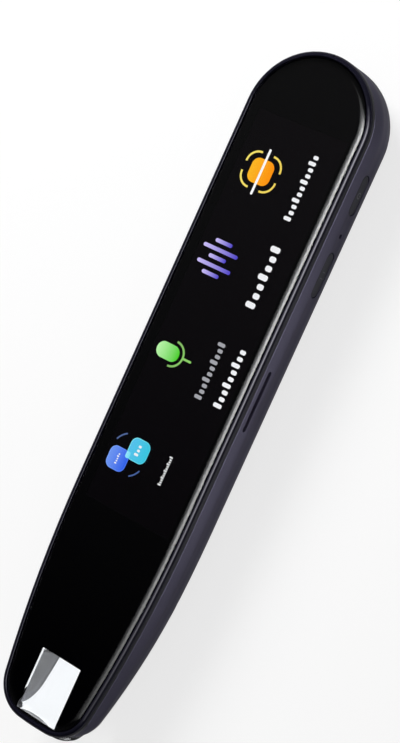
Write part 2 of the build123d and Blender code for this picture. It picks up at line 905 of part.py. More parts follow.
def microphone():
    """Microphone package on the side flex."""
    half = microphone_length / 2
    return block((flex_x, flex_x + microphone_depth), (microphone_y - half, microphone_y + half),
                 (key_z - microphone_height / 2, key_z + microphone_height / 2))


def microphone_boot():
    """Rubber tube from the microphone to the hole in the side."""
    low = flex_x + microphone_depth
    high = half_width - wall - clearance / 2
    boot = rod_x(microphone_y, key_z, microphone_height / 2, low, high)
    return boot - rod_x(microphone_y, key_z, microphone_hole / 2, low - 1, high + 1)


def card_socket():
    """Sheet metal socket for a memory card, open to the side."""
    mouth_x = half_width - wall - card_socket_gap
    low_x = mouth_x - card_socket_depth
    half = card_slot_length / 2
    channel_z = board_top_z + card_socket_sheet
    high_z = channel_z + card_thickness + card_socket_play
    body = block((low_x, mouth_x), (card_y - half, card_y + half), (board_top_z, high_z))
    room_y = (card_y - card_width / 2, card_y + card_width / 2)
    room = block((low_x + card_socket_back, mouth_x + 1), room_y,
                 (channel_z, channel_z + card_thickness))
    return body - room


def usb_socket_plan(margin=0.0):
    """Section of the charging socket across its depth."""
    return Plane.XZ * long_round(usb_width - 2 * margin, usb_height - 2 * margin)


def usb_c_socket():
    """Steel shell of the charging socket, with two ears soldered to the board."""
    can = Pos(0, usb_mouth_y, usb_z) * extrude(usb_socket_plan(), usb_depth)
    room = extrude(usb_socket_plan(usb_sheet), usb_depth - usb_tongue_from_back + 1)
    can -= Pos(0, usb_mouth_y + 1, usb_z) * room
    low = usb_mouth_y - usb_depth + usb_ear_from_back
    ear_z = (board_top_z, board_top_z + usb_ear_sheet)
    for side in (-1, 1):
        reach = sorted((side * (usb_width - usb_sheet) / 2, side * (usb_width / 2 + usb_ear_reach)))
        can += block(reach, (low, low + usb_ear_length), ear_z)
    return can


def usb_c_tongue():
    """Contact tongue inside the charging socket."""
    back_y = usb_mouth_y - usb_depth + usb_tongue_from_back
    half = (usb_tongue_width / 2, usb_tongue_thickness / 2)
    blade = block((-half[0], half[0]), (back_y, usb_mouth_y - usb_tongue_from_mouth),
                  (usb_z - half[1], usb_z + half[1]))
    heel_z = usb_height / 2 - usb_sheet - clearance / 2
    heel = block((-usb_heel_width / 2, usb_heel_width / 2), (back_y, back_y + usb_heel_length),
                 (usb_z - heel_z, usb_z + heel_z))
    return blade + heel


def antenna():
    """Thin flexible antenna on the inside of the far side wall."""
    x = antenna_gap - half_width + wall
    low_y = top_y - power_from_top - antenna_below_key
    low_z = key_z - antenna_drop
    return block((x, x + flex_thickness), (low_y, low_y + antenna_length),
                 (low_z, low_z + antenna_height))


def antenna_contact():
    """Leaf contact from the board to the antenna."""
    x = antenna_gap - half_width + wall + flex_thickness
    low_y = top_y - power_from_top - antenna_contact_below_key
    width = (low_y, low_y + antenna_contact_width)
    high_z = board_top_z + contact_sheet
    leaf = block((x, antenna_contact_overlap - board_half_width), width, (board_top_z, high_z))
    return leaf + block((x, x + contact_sheet), width, (key_z + antenna_contact_rise, high_z))


def scan_bulkhead():
    """Black plate across the body that carries the camera and the lights."""
    form = body_form(wall + clearance, chassis_z)
    plate = form & block((-half_width, half_width), (bulkhead_y, bulkhead_back_y), (0, chassis_z))
    plate -= rod_y(0, camera_z, barrel_diameter / 2 + clearance, bulkhead_y - 1, bulkhead_back_y + 1)
    pocket = spring_diameter / 2 + spring_pocket_play
    for side in (-1, 1):
        plate -= rod_y(side * spring_spacing / 2, spring_z(), pocket, bulkhead_y - 1,
                       bulkhead_back_y - spring_pocket_floor)
    half = tip_switch_width / 2 + clearance
    switch_z_range = (tip_switch_z() - clearance, tip_switch_z() + tip_switch_height + clearance)
    plate -= block((-half, half), (bulkhead_y - 1, bulkhead_back_y + 1), switch_z_range)
    return plate


def spring_z():
    """Height of the nose springs, behind the lip of the nose."""
    return back_height(lip_back_y) + lip_inset + nose_wall / 2 + spring_lift


def tip_switch_z():
    """Underside of the tip switch, which stands on the floor of the shell."""
    return back_height(bulkhead_back_y, wall) + tip_switch_lift


def tip_switch():
    """Switch that the nose presses when it touches the page."""
    half = tip_switch_width / 2
    low = tip_switch_z()
    face_y = bulkhead_y + tip_switch_setback
    body = block((-half, half), (face_y, face_y + tip_switch_depth), (low, low + tip_switch_height))
    bore = rod_y(0, low + tip_switch_height / 2, tip_plunger_diameter / 2 + clearance / 2,
                 bulkhead_y - 1, bulkhead_y + tip_plunger_bore)
    return body - bore


def tip_switch_plunger():
    """Pin between the nose and the tip switch."""
    z = tip_switch_z() + tip_switch_height / 2
    return rod_y(0, z, tip_plunger_diameter / 2, lip_back_y, bulkhead_y + tip_plunger_depth)


def camera_module():
    """Camera body with its sensor board and lens barrel."""
    half = camera_size / 2
    body = block((-half, half), (bulkhead_back_y, bulkhead_back_y + camera_length),
                 (camera_z - half, camera_z + half))
    back_y = bulkhead_back_y + camera_length
    wide = half + sensor_board_margin
    body += block((-wide, wide), (back_y, back_y + sensor_board_thickness),
                  (camera_z - wide, camera_z + half))
    face_y = bulkhead_back_y - barrel_length
    body += rod_y(0, camera_z, barrel_diameter / 2, face_y, bulkhead_back_y)
    return body - rod_y(0, camera_z, lens_diameter / 2 + clearance / 2, face_y - 1,
                        face_y + lens_seat_depth)


def camera_lens():
    """Convex lens in the barrel."""
    seat_y = bulkhead_back_y - barrel_length + lens_seat_depth
    lens = rod_y(0, camera_z, lens_diameter / 2, seat_y - lens_thickness, seat_y)
    return fillet(lens.edges().sort_by(Axis.Y)[0], 0.6 * lens_thickness)


def camera_flex():
    """Flex from the camera up to its socket under the board."""
    back_y = bulkhead_back_y + camera_length + sensor_board_thickness
    width = (-camera_flex_width / 2, camera_flex_width / 2)
    high = board_z - camera_socket_height
    low = camera_z - camera_flex_start
    rise = block(width, (back_y, back_y + flex_thickness), (low, high))
    run = block(width, (back_y, camera_socket_y()[1]), (high - flex_thickness, high))
    return rise + run


def scan_light_board():
    """Small board for the two scan lights, round the lens."""
    half = led_spacing / 2 + light_board_margin
    board = block((-half, half), (bulkhead_y - light_board_thickness, bulkhead_y),
                  (camera_z - light_board_drop, nose_top))
    hole = barrel_diameter / 2 + 2 * clearance
    return board - rod_y(0, camera_z, hole, bulkhead_y - 2, bulkhead_y + 1)


def scan_leds():
    """Two white lights that shine into the nose."""
    face_y = bulkhead_y - light_board_thickness
    half = led_size / 2
    z = camera_z + led_above_lens
    lights = []
    for side in (-1, 1):
        x = side * led_spacing / 2
        lights.append(block((x - half, x + half), (face_y - led_height, face_y),
                            (z - half, z + half)))
    return Compound(children=lights)


def scan_nose():
    """Clear hollow nose that slides back a little when it touches the page."""
    ahead = Pos(0, -nose_reach, 0)
    outer = ahead * body_form()
    hollow = ahead * body_form(nose_wall, seam_z + 1)
    low = nose_plan()
    nose = outer & slab(low, 0, nose_top)
    room_half = nose_width / 2 - nose_wall
    nose -= hollow & block((-room_half, room_half), (tip_y - 1, nose_back_y + 1), (0, seam_z))
    collar = body_form(0) - body_form(lip_inset + nose_wall, seam_z + 1)
    collar_y = (nose_back_y - nose_wall, nose_back_y)
    across = (-half_width, half_width)
    nose += collar & slab(low, 0, nose_top) & block(across, collar_y, (0, nose_top))
    lip = body_form(lip_inset) - body_form(lip_inset + nose_wall, seam_z + 1)
    lip_half = nose_width / 2 + lip_width
    lip_y = (nose_back_y - nose_wall, lip_back_y)
    nose += lip & block((-lip_half, lip_half), lip_y, (0, nose_top - lip_drop))
    return nose


def nose_springs():
    """Two short coil springs that push the nose out."""
    springs = []
    pocket_y = bulkhead_back_y - spring_pocket_floor
    height = pocket_y - nose_travel - spring_end_gap - lip_back_y
    radius = (spring_diameter - spring_wire) / 2
    pitch = (height - spring_wire) / spring_coils
    for side in (-1, 1):
        path = Helix(pitch, height - spring_wire, radius)
        section = Plane(path @ 0, z_dir=path % 0) * Circle(spring_wire / 2)
        coil = sweep(section, path)
        place = Pos(side * spring_spacing / 2, lip_back_y + spring_wire / 2, spring_z())
        springs.append(place * Rot(-90, 0, 0) * coil)
    return Compound(children=springs)


parts = {
    "rear_shell": rear_shell(),
    "front_frame": front_frame(),
    "cover_glass": cover_glass(),
    "glass_print": glass_print(),
    "glass_adhesive": glass_adhesive(),
    "display_panel": display_panel(),
    "display_backlight": display_backlight(),
    "display_tape": display_tape(),
    "display_flex": display_flex(),
    "inner_chassis": inner_chassis(),
    "main_board": main_board(),
    "board_screws": board_screws(),
    "board_connectors": board_connectors(),
    "processor_shield": processor_shield(),
    "processor": processor(),
    "memory_chip": memory_chip(),
    "wireless_shield": wireless_shield(),
    "power_chip": power_chip(),
    "battery": battery(),
    "battery_pad": battery_pad(),
    "battery_flex": battery_flex(),
    "speaker_plate": speaker_plate(),
    "speaker_mesh": speaker_mesh(),
    "speaker_gasket": speaker_gasket(),
    "speaker_frame": speaker_frame(),
    "speaker_diaphragm": speaker_diaphragm(),
    "speaker_magnet": speaker_magnet(),
    "spring_contacts": spring_contacts(),
    "power_button": key_button(power_from_top, power_length),
    "power_switch_plunger": switch_plunger(power_from_top),
    "power_switch": side_switch(power_from_top),
    "function_button": key_button(function_from_top, function_length),
    "function_switch_plunger": switch_plunger(function_from_top),
    "function_switch": side_switch(function_from_top),
    "side_key_flex": side_key_flex(),
    "side_key_bracket": side_key_bracket(),
    "microphone": microphone(),
    "microphone_boot": microphone_boot(),
    "card_socket": card_socket(),
    "usb_c_socket": usb_c_socket(),
    "usb_c_tongue": usb_c_tongue(),
    "antenna": antenna(),
    "antenna_contact": antenna_contact(),
    "scan_bulkhead": scan_bulkhead(),
    "camera_module": camera_module(),
    "camera_lens": camera_lens(),
    "camera_flex": camera_flex(),
    "scan_light_board": scan_light_board(),
    "scan_leds": scan_leds(),
    "tip_switch": tip_switch(),
    "tip_switch_plunger": tip_switch_plunger(),
    "scan_nose": scan_nose(),
    "nose_springs": nose_springs(),
}

os.makedirs("parts", exist_ok=True)
for name, shape in parts.items():
    export_step(shape, f"parts/{name}.step")
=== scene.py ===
import math

import bmesh
import bpy
from mathutils import Matrix, Vector
from mathutils.geometry import intersect_sphere_sphere_2d


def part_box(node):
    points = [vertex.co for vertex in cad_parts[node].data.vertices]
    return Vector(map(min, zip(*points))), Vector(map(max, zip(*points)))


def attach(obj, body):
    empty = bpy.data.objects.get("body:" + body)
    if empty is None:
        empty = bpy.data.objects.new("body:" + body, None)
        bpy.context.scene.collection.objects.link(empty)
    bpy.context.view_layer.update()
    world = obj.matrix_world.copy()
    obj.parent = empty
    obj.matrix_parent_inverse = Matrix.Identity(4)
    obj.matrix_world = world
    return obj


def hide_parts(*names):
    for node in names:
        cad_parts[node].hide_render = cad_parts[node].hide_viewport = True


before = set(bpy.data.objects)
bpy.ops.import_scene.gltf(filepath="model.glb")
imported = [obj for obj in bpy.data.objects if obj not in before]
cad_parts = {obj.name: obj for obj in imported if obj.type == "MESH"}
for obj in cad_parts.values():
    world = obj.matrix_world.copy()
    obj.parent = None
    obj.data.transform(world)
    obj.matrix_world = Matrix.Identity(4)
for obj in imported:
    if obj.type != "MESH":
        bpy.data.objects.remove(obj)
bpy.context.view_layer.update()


# Camera. It looks down on the glass from the side with the keys, about 29 degrees off
# square, with the round end at the top right.
camera_place = Vector((0.18667, 0.03404, 0.35488))
camera_aim = Vector((-0.00259, 0.00604, 0.00795))
camera_up = Vector((-0.39341, 0.90844, 0.14128))

camera = bpy.data.objects.new("camera", bpy.data.cameras.new("camera"))
bpy.context.scene.collection.objects.link(camera)
bpy.context.scene.camera = camera
back = (camera_place - camera_aim).normalized()
right = camera_up.cross(back).normalized()
axes = Matrix((right, back.cross(right), back)).transposed()
camera.matrix_world = Matrix.Translation(camera_place) @ axes.to_4x4()
camera.data.sensor_width = 36
camera.data.lens = 88.56
bpy.context.scene.view_settings.view_transform = "Standard"


# Studio: a plain white floor under a white surround, two soft lamps, and a long soft box over
# the side with the keys. What shines sees a dark ceiling, and a floor that is white far from the
# device and painted grey by its ends, as shade that only reflections show, so black stays black.
def linear(code):
    """Linear colour for a hex colour as it looks on a screen."""
    shares = [int(code[place:place + 2], 16) / 255 for place in (1, 3, 5)]
    bright = [share / 12.92 if share <= 0.04045 else ((share + 0.055) / 1.055) ** 2.4
              for share in shares]
    return (*bright, 1.0)


def add_node(tree, kind, settings=None, links=None):
    """Adds one node, with settings for its properties and inputs, and links into its inputs."""
    node = tree.nodes.new(kind)
    for name, value in (settings or {}).items():
        if isinstance(name, int) or name in node.inputs:
            node.inputs[name].default_value = value
        else:
            setattr(node, name, value)
    for name, source in (links or {}).items():
        tree.links.new(source, node.inputs[name])
    return node


room_light = 0.22
overhead_glow = 0.06          # of the mirrored ceiling over the round end
ceiling_fade = (-0.25, 0.1)   # lean to +Y between which that glow sets in
horizon_glow_top = 0.09       # rise of the direction where the white horizon has faded out
soft_box = ((-0.33, 0.0), (-0.25, 0.05), (-0.07, 0.14), (0.12, 0.34), (0.3, 1.0), (0.5, 0.85),
            (0.68, 0.2), (0.85, 0.0))   # share by how far the direction leans to +X
soft_box_ends = (("Z", 0.3, 0.55), ("Y", -0.5, 0.1), ("Y", 0.5, 0.2))   # dark and full lean
soft_box_glow = 15.0          # at the brightest part

room = bpy.data.worlds.new("studio")
bpy.context.scene.world = room
room.use_nodes = True
tree = room.node_tree
tree.nodes.clear()
path = add_node(tree, "ShaderNodeLightPath")
direction = add_node(tree, "ShaderNodeTexCoord").outputs["Generated"]
parts = add_node(tree, "ShaderNodeSeparateXYZ", {}, {0: direction})
ceiling = add_node(tree, "ShaderNodeMapRange", {
    "From Min": ceiling_fade[0], "From Max": ceiling_fade[1], "To Max": overhead_glow},
    {"Value": parts.outputs["Y"]})
glow = add_node(tree, "ShaderNodeMapRange", {"From Max": horizon_glow_top, "To Min": 1.0},
                {"Value": parts.outputs["Z"], "To Max": ceiling.outputs["Result"]})
half_lean = add_node(tree, "ShaderNodeMath", {"operation": "MULTIPLY_ADD", 1: 0.5, 2: 0.5},
                     {0: parts.outputs["X"]})
ramp = add_node(tree, "ShaderNodeValToRGB", {}, {0: half_lean.outputs[0]})
ramp.color_ramp.interpolation = "EASE"
stops = ramp.color_ramp.elements
fresh_stops = len(stops)
for number, (lean, share) in enumerate(soft_box):
    stop = stops[number] if number < fresh_stops else stops.new(lean)
    stop.position = (lean + 1) / 2
    stop.color = (share, share, share, 1)
box = ramp.outputs["Color"]
for side, low, high in soft_box_ends:
    edge = add_node(tree, "ShaderNodeMapRange", {
        "interpolation_type": "SMOOTHSTEP", "From Min": low, "From Max": high},
        {"Value": parts.outputs[side]})
    box = add_node(tree, "ShaderNodeMath", {"operation": "MULTIPLY"}, {
        0: box, 1: edge.outputs["Result"]}).outputs[0]
bounced = add_node(tree, "ShaderNodeMath", {"operation": "SUBTRACT", "use_clamp": True}, {
    0: path.outputs["Is Glossy Ray"], 1: path.outputs["Is Transmission Ray"]})
box = add_node(tree, "ShaderNodeMath", {"operation": "MULTIPLY"}, {
    0: box, 1: bounced.outputs[0]}).outputs[0]
glow = add_node(tree, "ShaderNodeMath", {"operation": "MULTIPLY_ADD", 1: soft_box_glow}, {
    0: box, 2: glow.outputs["Result"]})
mirrored = add_node(tree, "ShaderNodeMath", {"operation": "MAXIMUM"}, {
    0: path.outputs["Is Glossy Ray"], 1: path.outputs["Is Transmission Ray"]})
unlit = add_node(tree, "ShaderNodeMix", {"A": room_light}, {
    "Factor": mirrored.outputs[0], "B": glow.outputs[0]})
shown = add_node(tree, "ShaderNodeMix", {"B": 1.0}, {
    "Factor": path.outputs["Is Camera Ray"], "A": unlit.outputs["Result"]})
surround = add_node(tree, "ShaderNodeBackground", {"Color": linear("#ffffff")},
                    {"Strength": shown.outputs["Result"]})
add_node(tree, "ShaderNodeOutputWorld", {}, {"Surface": surround.outputs[0]})

floor_reach = 3.0
floor_white = linear("#f4f4f4")
floor_glow = 0.75             # share of the floor that shows white whatever falls on it
seen_through = 1.0            # the same through clear pieces
seen_through_gain = 0.26      # added to that white, for what clear pieces take away
mirrored_glow = (0.0, 0.8)    # the same share where it is mirrored, near and far
mirrored_reach = (0.03, 0.3)  # how near and how far from the middle of the device that is
painted_shade_grey = linear("#505050")   # painted shade: grey given to the mirrored floor by both ends of the device
painted_shade_stretch = (0.025, 0.08)   # from the middle, between which the painted shade turns to that grey

floor_paint = bpy.data.materials.new("matt white studio floor")
floor_paint.use_nodes = True
tree = floor_paint.node_tree
tree.nodes.clear()
path = add_node(tree, "ShaderNodeLightPath")
spot = add_node(tree, "ShaderNodeNewGeometry").outputs["Position"]
away = add_node(tree, "ShaderNodeVectorMath", {"operation": "LENGTH"}, {0: spot})
away = add_node(tree, "ShaderNodeMapRange", {
    "From Min": mirrored_reach[0], "From Max": mirrored_reach[1],
    "To Min": mirrored_glow[0], "To Max": mirrored_glow[1]}, {"Value": away.outputs["Value"]})
share = add_node(tree, "ShaderNodeMath", {"operation": "MULTIPLY"}, {
    0: path.outputs["Is Glossy Ray"], 1: away.outputs["Result"]})
for kind, part in (("Is Camera Ray", floor_glow), ("Is Transmission Ray", seen_through)):
    white_part = add_node(tree, "ShaderNodeMath", {"operation": "MULTIPLY", 1: part},
                          {0: path.outputs[kind]})
    share = add_node(tree, "ShaderNodeMath", {"operation": "MAXIMUM"}, {
        0: share.outputs[0], 1: white_part.outputs[0]})
along = add_node(tree, "ShaderNodeVectorMath", {"operation": "ABSOLUTE"}, {0: spot})
along = add_node(tree, "ShaderNodeSeparateXYZ", {}, {0: along.outputs["Vector"]})
along = add_node(tree, "ShaderNodeMapRange", {
    "From Min": painted_shade_stretch[0], "From Max": painted_shade_stretch[1]}, {"Value": along.outputs["Y"]})
# painted shade: where it is mirrored, the floor turns grey by the ends of the device
grey = add_node(tree, "ShaderNodeMath", {"operation": "MULTIPLY"}, {
    0: path.outputs["Is Glossy Ray"], 1: along.outputs["Result"]})
grey = add_node(tree, "ShaderNodeMix", {"data_type": "RGBA", 6: floor_white, 7: painted_shade_grey},
                {0: grey.outputs[0]})
matt = add_node(tree, "ShaderNodeBsdfDiffuse", {}, {"Color": grey.outputs[2]})
gain = add_node(tree, "ShaderNodeMath", {
    "operation": "MULTIPLY_ADD", 1: seen_through_gain, 2: 1.0},
    {0: path.outputs["Is Transmission Ray"]})
white = add_node(tree, "ShaderNodeEmission", {"Color": linear("#ffffff")},
                 {"Strength": gain.outputs[0]})
both = add_node(tree, "ShaderNodeMixShader", {}, {
    0: share.outputs[0], 1: matt.outputs[0], 2: white.outputs[0]})
add_node(tree, "ShaderNodeOutputMaterial", {}, {"Surface": both.outputs[0]})

shape = bmesh.new()
bmesh.ops.create_grid(shape, x_segments=1, y_segments=1, size=floor_reach)
floor_mesh = bpy.data.meshes.new("studio_floor")
shape.to_mesh(floor_mesh)
shape.free()
floor_mesh.materials.append(floor_paint)
floor = bpy.data.objects.new("studio_floor", floor_mesh)
bpy.context.scene.collection.objects.link(floor)


def soft_lamp(name, place, width, depth, watts):
    """Rectangular soft box that faces the device."""
    lamp = bpy.data.lights.new(name, "AREA")
    lamp.shape = "RECTANGLE"
    lamp.size = width
    lamp.size_y = depth
    lamp.energy = watts
    box = bpy.data.objects.new(name, lamp)
    bpy.context.scene.collection.objects.link(box)
    box.location = place
    box.rotation_euler = (-Vector(place)).to_track_quat("-Z", "Y").to_euler()
    return box


end_lamp = soft_lamp("end_lamp", (-0.33, 0.42, 0.42), 0.34, 0.34, 5.6)
end_lamp.visible_glossy = False   # it gives light, but nothing mirrors it
end_lamp.visible_transmission = False
soft_lamp("right_lamp", (0.65, 0.0, 0.75), 1.0, 0.45, 0.6)


# Rear shell: the back and sides in one moulding of polycarbonate and ABS, sprayed with a satin
# navy-grey lacquer that has a little metal flake, so highlights turn lavender and edges stay dark.
wave_radians = 20             # that a wave texture runs through in one unit of its scale


def repeats(millimetres):
    """Scale of a pattern whose features are this far apart."""
    return 1000 / millimetres


def crests(millimetres):
    """Scale of a wave texture whose crests are this far apart."""
    return repeats(millimetres) * math.tau / wave_radians


def new_finish(name, values):
    """Starts a material with one principled surface, and gives it and the place on the piece."""
    finish = bpy.data.materials.new(name)
    finish.use_nodes = True
    surface = finish.node_tree.nodes["Principled BSDF"]
    for socket, value in values.items():
        surface.inputs[socket].default_value = value
    place = add_node(finish.node_tree, "ShaderNodeTexCoord").outputs["Object"]
    return finish, place


def vary(finish, socket, pattern, low, high):
    """Lets a pattern drive a socket of the surface between two values."""
    tree = finish.node_tree
    surface = tree.nodes["Principled BSDF"]
    if isinstance(low, tuple):
        blend = add_node(tree, "ShaderNodeMix", {"data_type": "RGBA", 6: low, 7: high},
                         {0: pattern})
        tree.links.new(blend.outputs[2], surface.inputs[socket])
    else:
        spread = add_node(tree, "ShaderNodeMapRange", {"To Min": low, "To Max": high},
                          {"Value": pattern})
        tree.links.new(spread.outputs["Result"], surface.inputs[socket])


def roughen(finish, pattern, depth_mm, strength=1.0):
    """Raises the surface by a pattern, up to a real depth, on top of what was raised before."""
    tree = finish.node_tree
    normal = tree.nodes["Principled BSDF"].inputs["Normal"]
    before = {"Normal": link.from_socket for link in normal.links}
    bump = add_node(tree, "ShaderNodeBump", {"Distance": depth_mm / 1000, "Strength": strength},
                    {"Height": pattern, **before})
    tree.links.new(bump.outputs["Normal"], normal)


def grain(finish, place, across_mm, along_mm=None, detail=2.0):
    """Random grain of a real size, drawn out along the device where brushing leaves it so."""
    across, along = repeats(across_mm), repeats(along_mm or across_mm)
    sized = add_node(finish.node_tree, "ShaderNodeMapping", {"Scale": (across, along, across)},
                     {"Vector": place})
    noise = add_node(finish.node_tree, "ShaderNodeTexNoise", {"Scale": 1.0, "Detail": detail},
                     {"Vector": sized.outputs[0]})
    return noise.outputs["Fac"]


def dress(finish, *nodes):
    """Gives CAD nodes a finish."""
    for node in nodes:
        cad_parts[node].material_slots[0].material = finish


flake_spacing = 0.35          # real flake is finer; this is what shows at this size
flake_height = 0.004          # millimetres, as for every grain and depth of a finish below
handling_spot = 14.0          # patches that hands have polished
wall_crown = (9.4, 15.6, 1.2)   # levels between which light shows the wall lean in, and how far

satin_shell, place = new_finish("satin navy-grey lacquer on moulded shell", {
    "Base Color": linear("#524f63"), "Metallic": 0.6, "Roughness": 0.3, "IOR": 1.45})
vary(satin_shell, "Roughness", grain(satin_shell, place, handling_spot), 0.28, 0.36)
tree = satin_shell.node_tree
level = add_node(tree, "ShaderNodeSeparateXYZ", {}, {0: place})
level = add_node(tree, "ShaderNodeMapRange", {
    "interpolation_type": "SMOOTHSTEP", "From Min": wall_crown[0] / 1000,
    "From Max": wall_crown[1] / 1000}, {"Value": level.outputs["Z"]})
roughen(satin_shell, level.outputs["Result"], -wall_crown[2])
roughen(satin_shell, grain(satin_shell, place, flake_spacing), flake_height, 0.25)
dress(satin_shell, "rear_shell")


# Battery: a flat lithium pouch in pressed aluminium laminate, held to the shell by a strip of
# foam tape, with an amber flat lead up to its socket on the board.
pouch_wrinkle = 5.0

# bright but soft, with highlights that break over its wrinkles
pouch_foil, place = new_finish("pressed aluminium pouch laminate", {
    "Base Color": linear("#c6c8cc"), "Metallic": 0.95, "Roughness": 0.34})
vary(pouch_foil, "Roughness", grain(pouch_foil, place, pouch_wrinkle), 0.26, 0.42)
roughen(pouch_foil, grain(pouch_foil, place, pouch_wrinkle, detail=4.0), 0.12, 0.5)
dress(pouch_foil, "battery")

foam_cell = 0.35

# dead black, with fine cells that swallow the light
black_foam, place = new_finish("black closed-cell foam tape", {
    "Base Color": linear("#17171a"), "Roughness": 0.9, "IOR": 1.45})
cells = add_node(black_foam.node_tree, "ShaderNodeTexVoronoi", {"Scale": repeats(foam_cell)},
                 {"Vector": place})
roughen(black_foam, cells.outputs["Distance"], 0.05, 0.6)
vary(black_foam, "Base Color", cells.outputs["Distance"], linear("#101013"), linear("#222226"))
dress(black_foam, "battery_pad", "speaker_gasket", "display_tape")

copper_pitch = 3.1416         # drawn much coarser than real tracks

# clear amber with paler stripes of copper, and a plastic shine
amber_flex, place = new_finish("amber polyimide flex with copper tracks", {
    "Base Color": linear("#b4671f"), "Roughness": 0.38, "IOR": 1.68})
tracks = add_node(amber_flex.node_tree, "ShaderNodeTexWave", {
    "bands_direction": "X", "Scale": crests(copper_pitch)}, {"Vector": place})
vary(amber_flex, "Base Color", tracks.outputs["Fac"], linear("#9a5217"), linear("#d08a3c"))
roughen(amber_flex, tracks.outputs["Fac"], 0.01, 0.4)
dress(amber_flex, "battery_flex", "display_flex", "side_key_flex", "camera_flex", "antenna")


# Speaker: a black basket on a foam ring, with a thin polyester cone, a nickel plated magnet
# and a fine black cloth against dust behind the slots of the plate.

# dull black with an even fine grain
basket_plastic, place = new_finish("black moulded ABS speaker basket", {
    "Base Color": linear("#1c1c1f"), "Roughness": 0.55, "IOR": 1.53})
vary(basket_plastic, "Roughness", grain(basket_plastic, place, 2.0), 0.48, 0.62)
roughen(basket_plastic, grain(basket_plastic, place, 0.3), 0.01, 0.4)
dress(basket_plastic, "speaker_frame")

cone_ripple = 7.54

# a dark shine that falls into rings
cone_film, place = new_finish("thin dark polyester cone", {
    "Base Color": linear("#3a3a40"), "Roughness": 0.22, "IOR": 1.6})
ripple = add_node(cone_film.node_tree, "ShaderNodeTexWave", {
    "wave_type": "RINGS", "rings_direction": "Z", "Scale": crests(cone_ripple)}, {"Vector": place})
roughen(cone_film, ripple.outputs["Fac"], 0.03, 0.4)
vary(cone_film, "Roughness", ripple.outputs["Fac"], 0.18, 0.3)
dress(cone_film, "speaker_diaphragm")

# a warm silvery shine, a little uneven
plated_steel, place = new_finish("nickel plated steel", {
    "Base Color": linear("#b9b4aa"), "Metallic": 1.0, "Roughness": 0.25})
vary(plated_steel, "Roughness", grain(plated_steel, place, 1.5), 0.2, 0.34)
roughen(plated_steel, grain(plated_steel, place, 0.4), 0.004, 0.4)
dress(plated_steel, "speaker_magnet")

thread_pitch = 1.885          # the real cloth is about ten times as fine

# nearly black, with a woven grain
dust_cloth, place = new_finish("fine black acoustic cloth", {
    "Base Color": linear("#08080c"), "Roughness": 0.85, "IOR": 1.5, "Sheen Weight": 0.2})
warp = add_node(dust_cloth.node_tree, "ShaderNodeTexWave", {
    "bands_direction": "X", "Scale": crests(thread_pitch)}, {"Vector": place})
weft = add_node(dust_cloth.node_tree, "ShaderNodeTexWave", {
    "bands_direction": "Y", "Scale": crests(thread_pitch)}, {"Vector": place})
weave = add_node(dust_cloth.node_tree, "ShaderNodeMath", {"operation": "MULTIPLY"}, {
    0: warp.outputs["Fac"], 1: weft.outputs["Fac"]})
roughen(dust_cloth, weave.outputs[0], 0.05, 0.7)
vary(dust_cloth, "Base Color", weave.outputs[0], linear("#030306"), linear("#14141c"))
dress(dust_cloth, "speaker_mesh")


# Speaker plate: stamped aluminium, brushed along its length, anodised and dyed blue-grey. Its
# cut edge is polished afterwards, so a bright line runs round it in the soft hollow.
brush_width = 0.16            # drawn a little coarser than real brushing
brush_length = 14.0
face_slope = 0.95             # below this share of upright, it is the polished edge

# fine lines along it, which draw each highlight out across them
brushed_plate, place = new_finish("brushed blue-grey anodised aluminium", {
    "Base Color": linear("#62627a"), "Metallic": 1.0, "Roughness": 0.36})
lines = grain(brushed_plate, place, brush_width, brush_length, detail=3.0)
tree = brushed_plate.node_tree
facing = add_node(tree, "ShaderNodeSeparateXYZ", {}, {
    0: add_node(tree, "ShaderNodeNewGeometry").outputs["True Normal"]})
flatness = add_node(tree, "ShaderNodeMath", {"operation": "ABSOLUTE"}, {0: facing.outputs["Z"]})
polished = add_node(tree, "ShaderNodeMath", {"operation": "LESS_THAN", 1: face_slope},
                    {0: flatness.outputs[0]})
dyed = add_node(tree, "ShaderNodeMix", {
    "data_type": "RGBA", 6: linear("#5a5a70"), 7: linear("#74748c")}, {0: lines})
trimmed = add_node(tree, "ShaderNodeMix", {"data_type": "RGBA", 7: linear("#c4c4d4")}, {
    0: polished.outputs[0], 6: dyed.outputs[2]})
tree.links.new(trimmed.outputs[2], tree.nodes["Principled BSDF"].inputs["Base Color"])
vary(brushed_plate, "Roughness", lines, 0.28, 0.46)
roughen(brushed_plate, lines, 0.01, 0.3)
dress(brushed_plate, "speaker_plate")


# Side keys: two satin caps moulded in one piece with the flange behind the wall, the upper one
# with a small printed power mark and the lower one with two short dashes.
sharp_angle = 35              # edges that turn more than this stay crisp


def as_piece(name, shape, finish, body):
    """Makes a shape a piece that rides on a body."""
    bmesh.ops.recalc_face_normals(shape, faces=shape.faces)
    mesh = bpy.data.meshes.new(name)
    shape.to_mesh(mesh)
    shape.free()
    mesh.materials.append(finish)
    mesh.shade_smooth()
    mesh.set_sharp_from_angle(angle=math.radians(sharp_angle))
    piece = bpy.data.objects.new(name, mesh)
    bpy.context.scene.collection.objects.link(piece)
    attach(piece, body)
    return piece


def rounded_plate(width, length, thickness, corner):
    """Flat plate with rounded corners, standing on the origin."""
    plate = bmesh.new()
    bmesh.ops.create_grid(plate, x_segments=1, y_segments=1, size=0.5)
    bmesh.ops.scale(plate, vec=(width, length, 1), verts=plate.verts)
    bmesh.ops.bevel(plate, geom=plate.verts, offset=corner, segments=8, profile=0.5,
                    affect="VERTICES", material=-1)
    bmesh.ops.remove_doubles(plate, verts=plate.verts, dist=1e-7)
    raised = bmesh.ops.extrude_face_region(plate, geom=plate.faces[:])["geom"]
    bmesh.ops.translate(plate, vec=(0, 0, thickness),
                        verts=[part for part in raised if isinstance(part, bmesh.types.BMVert)])
    return plate


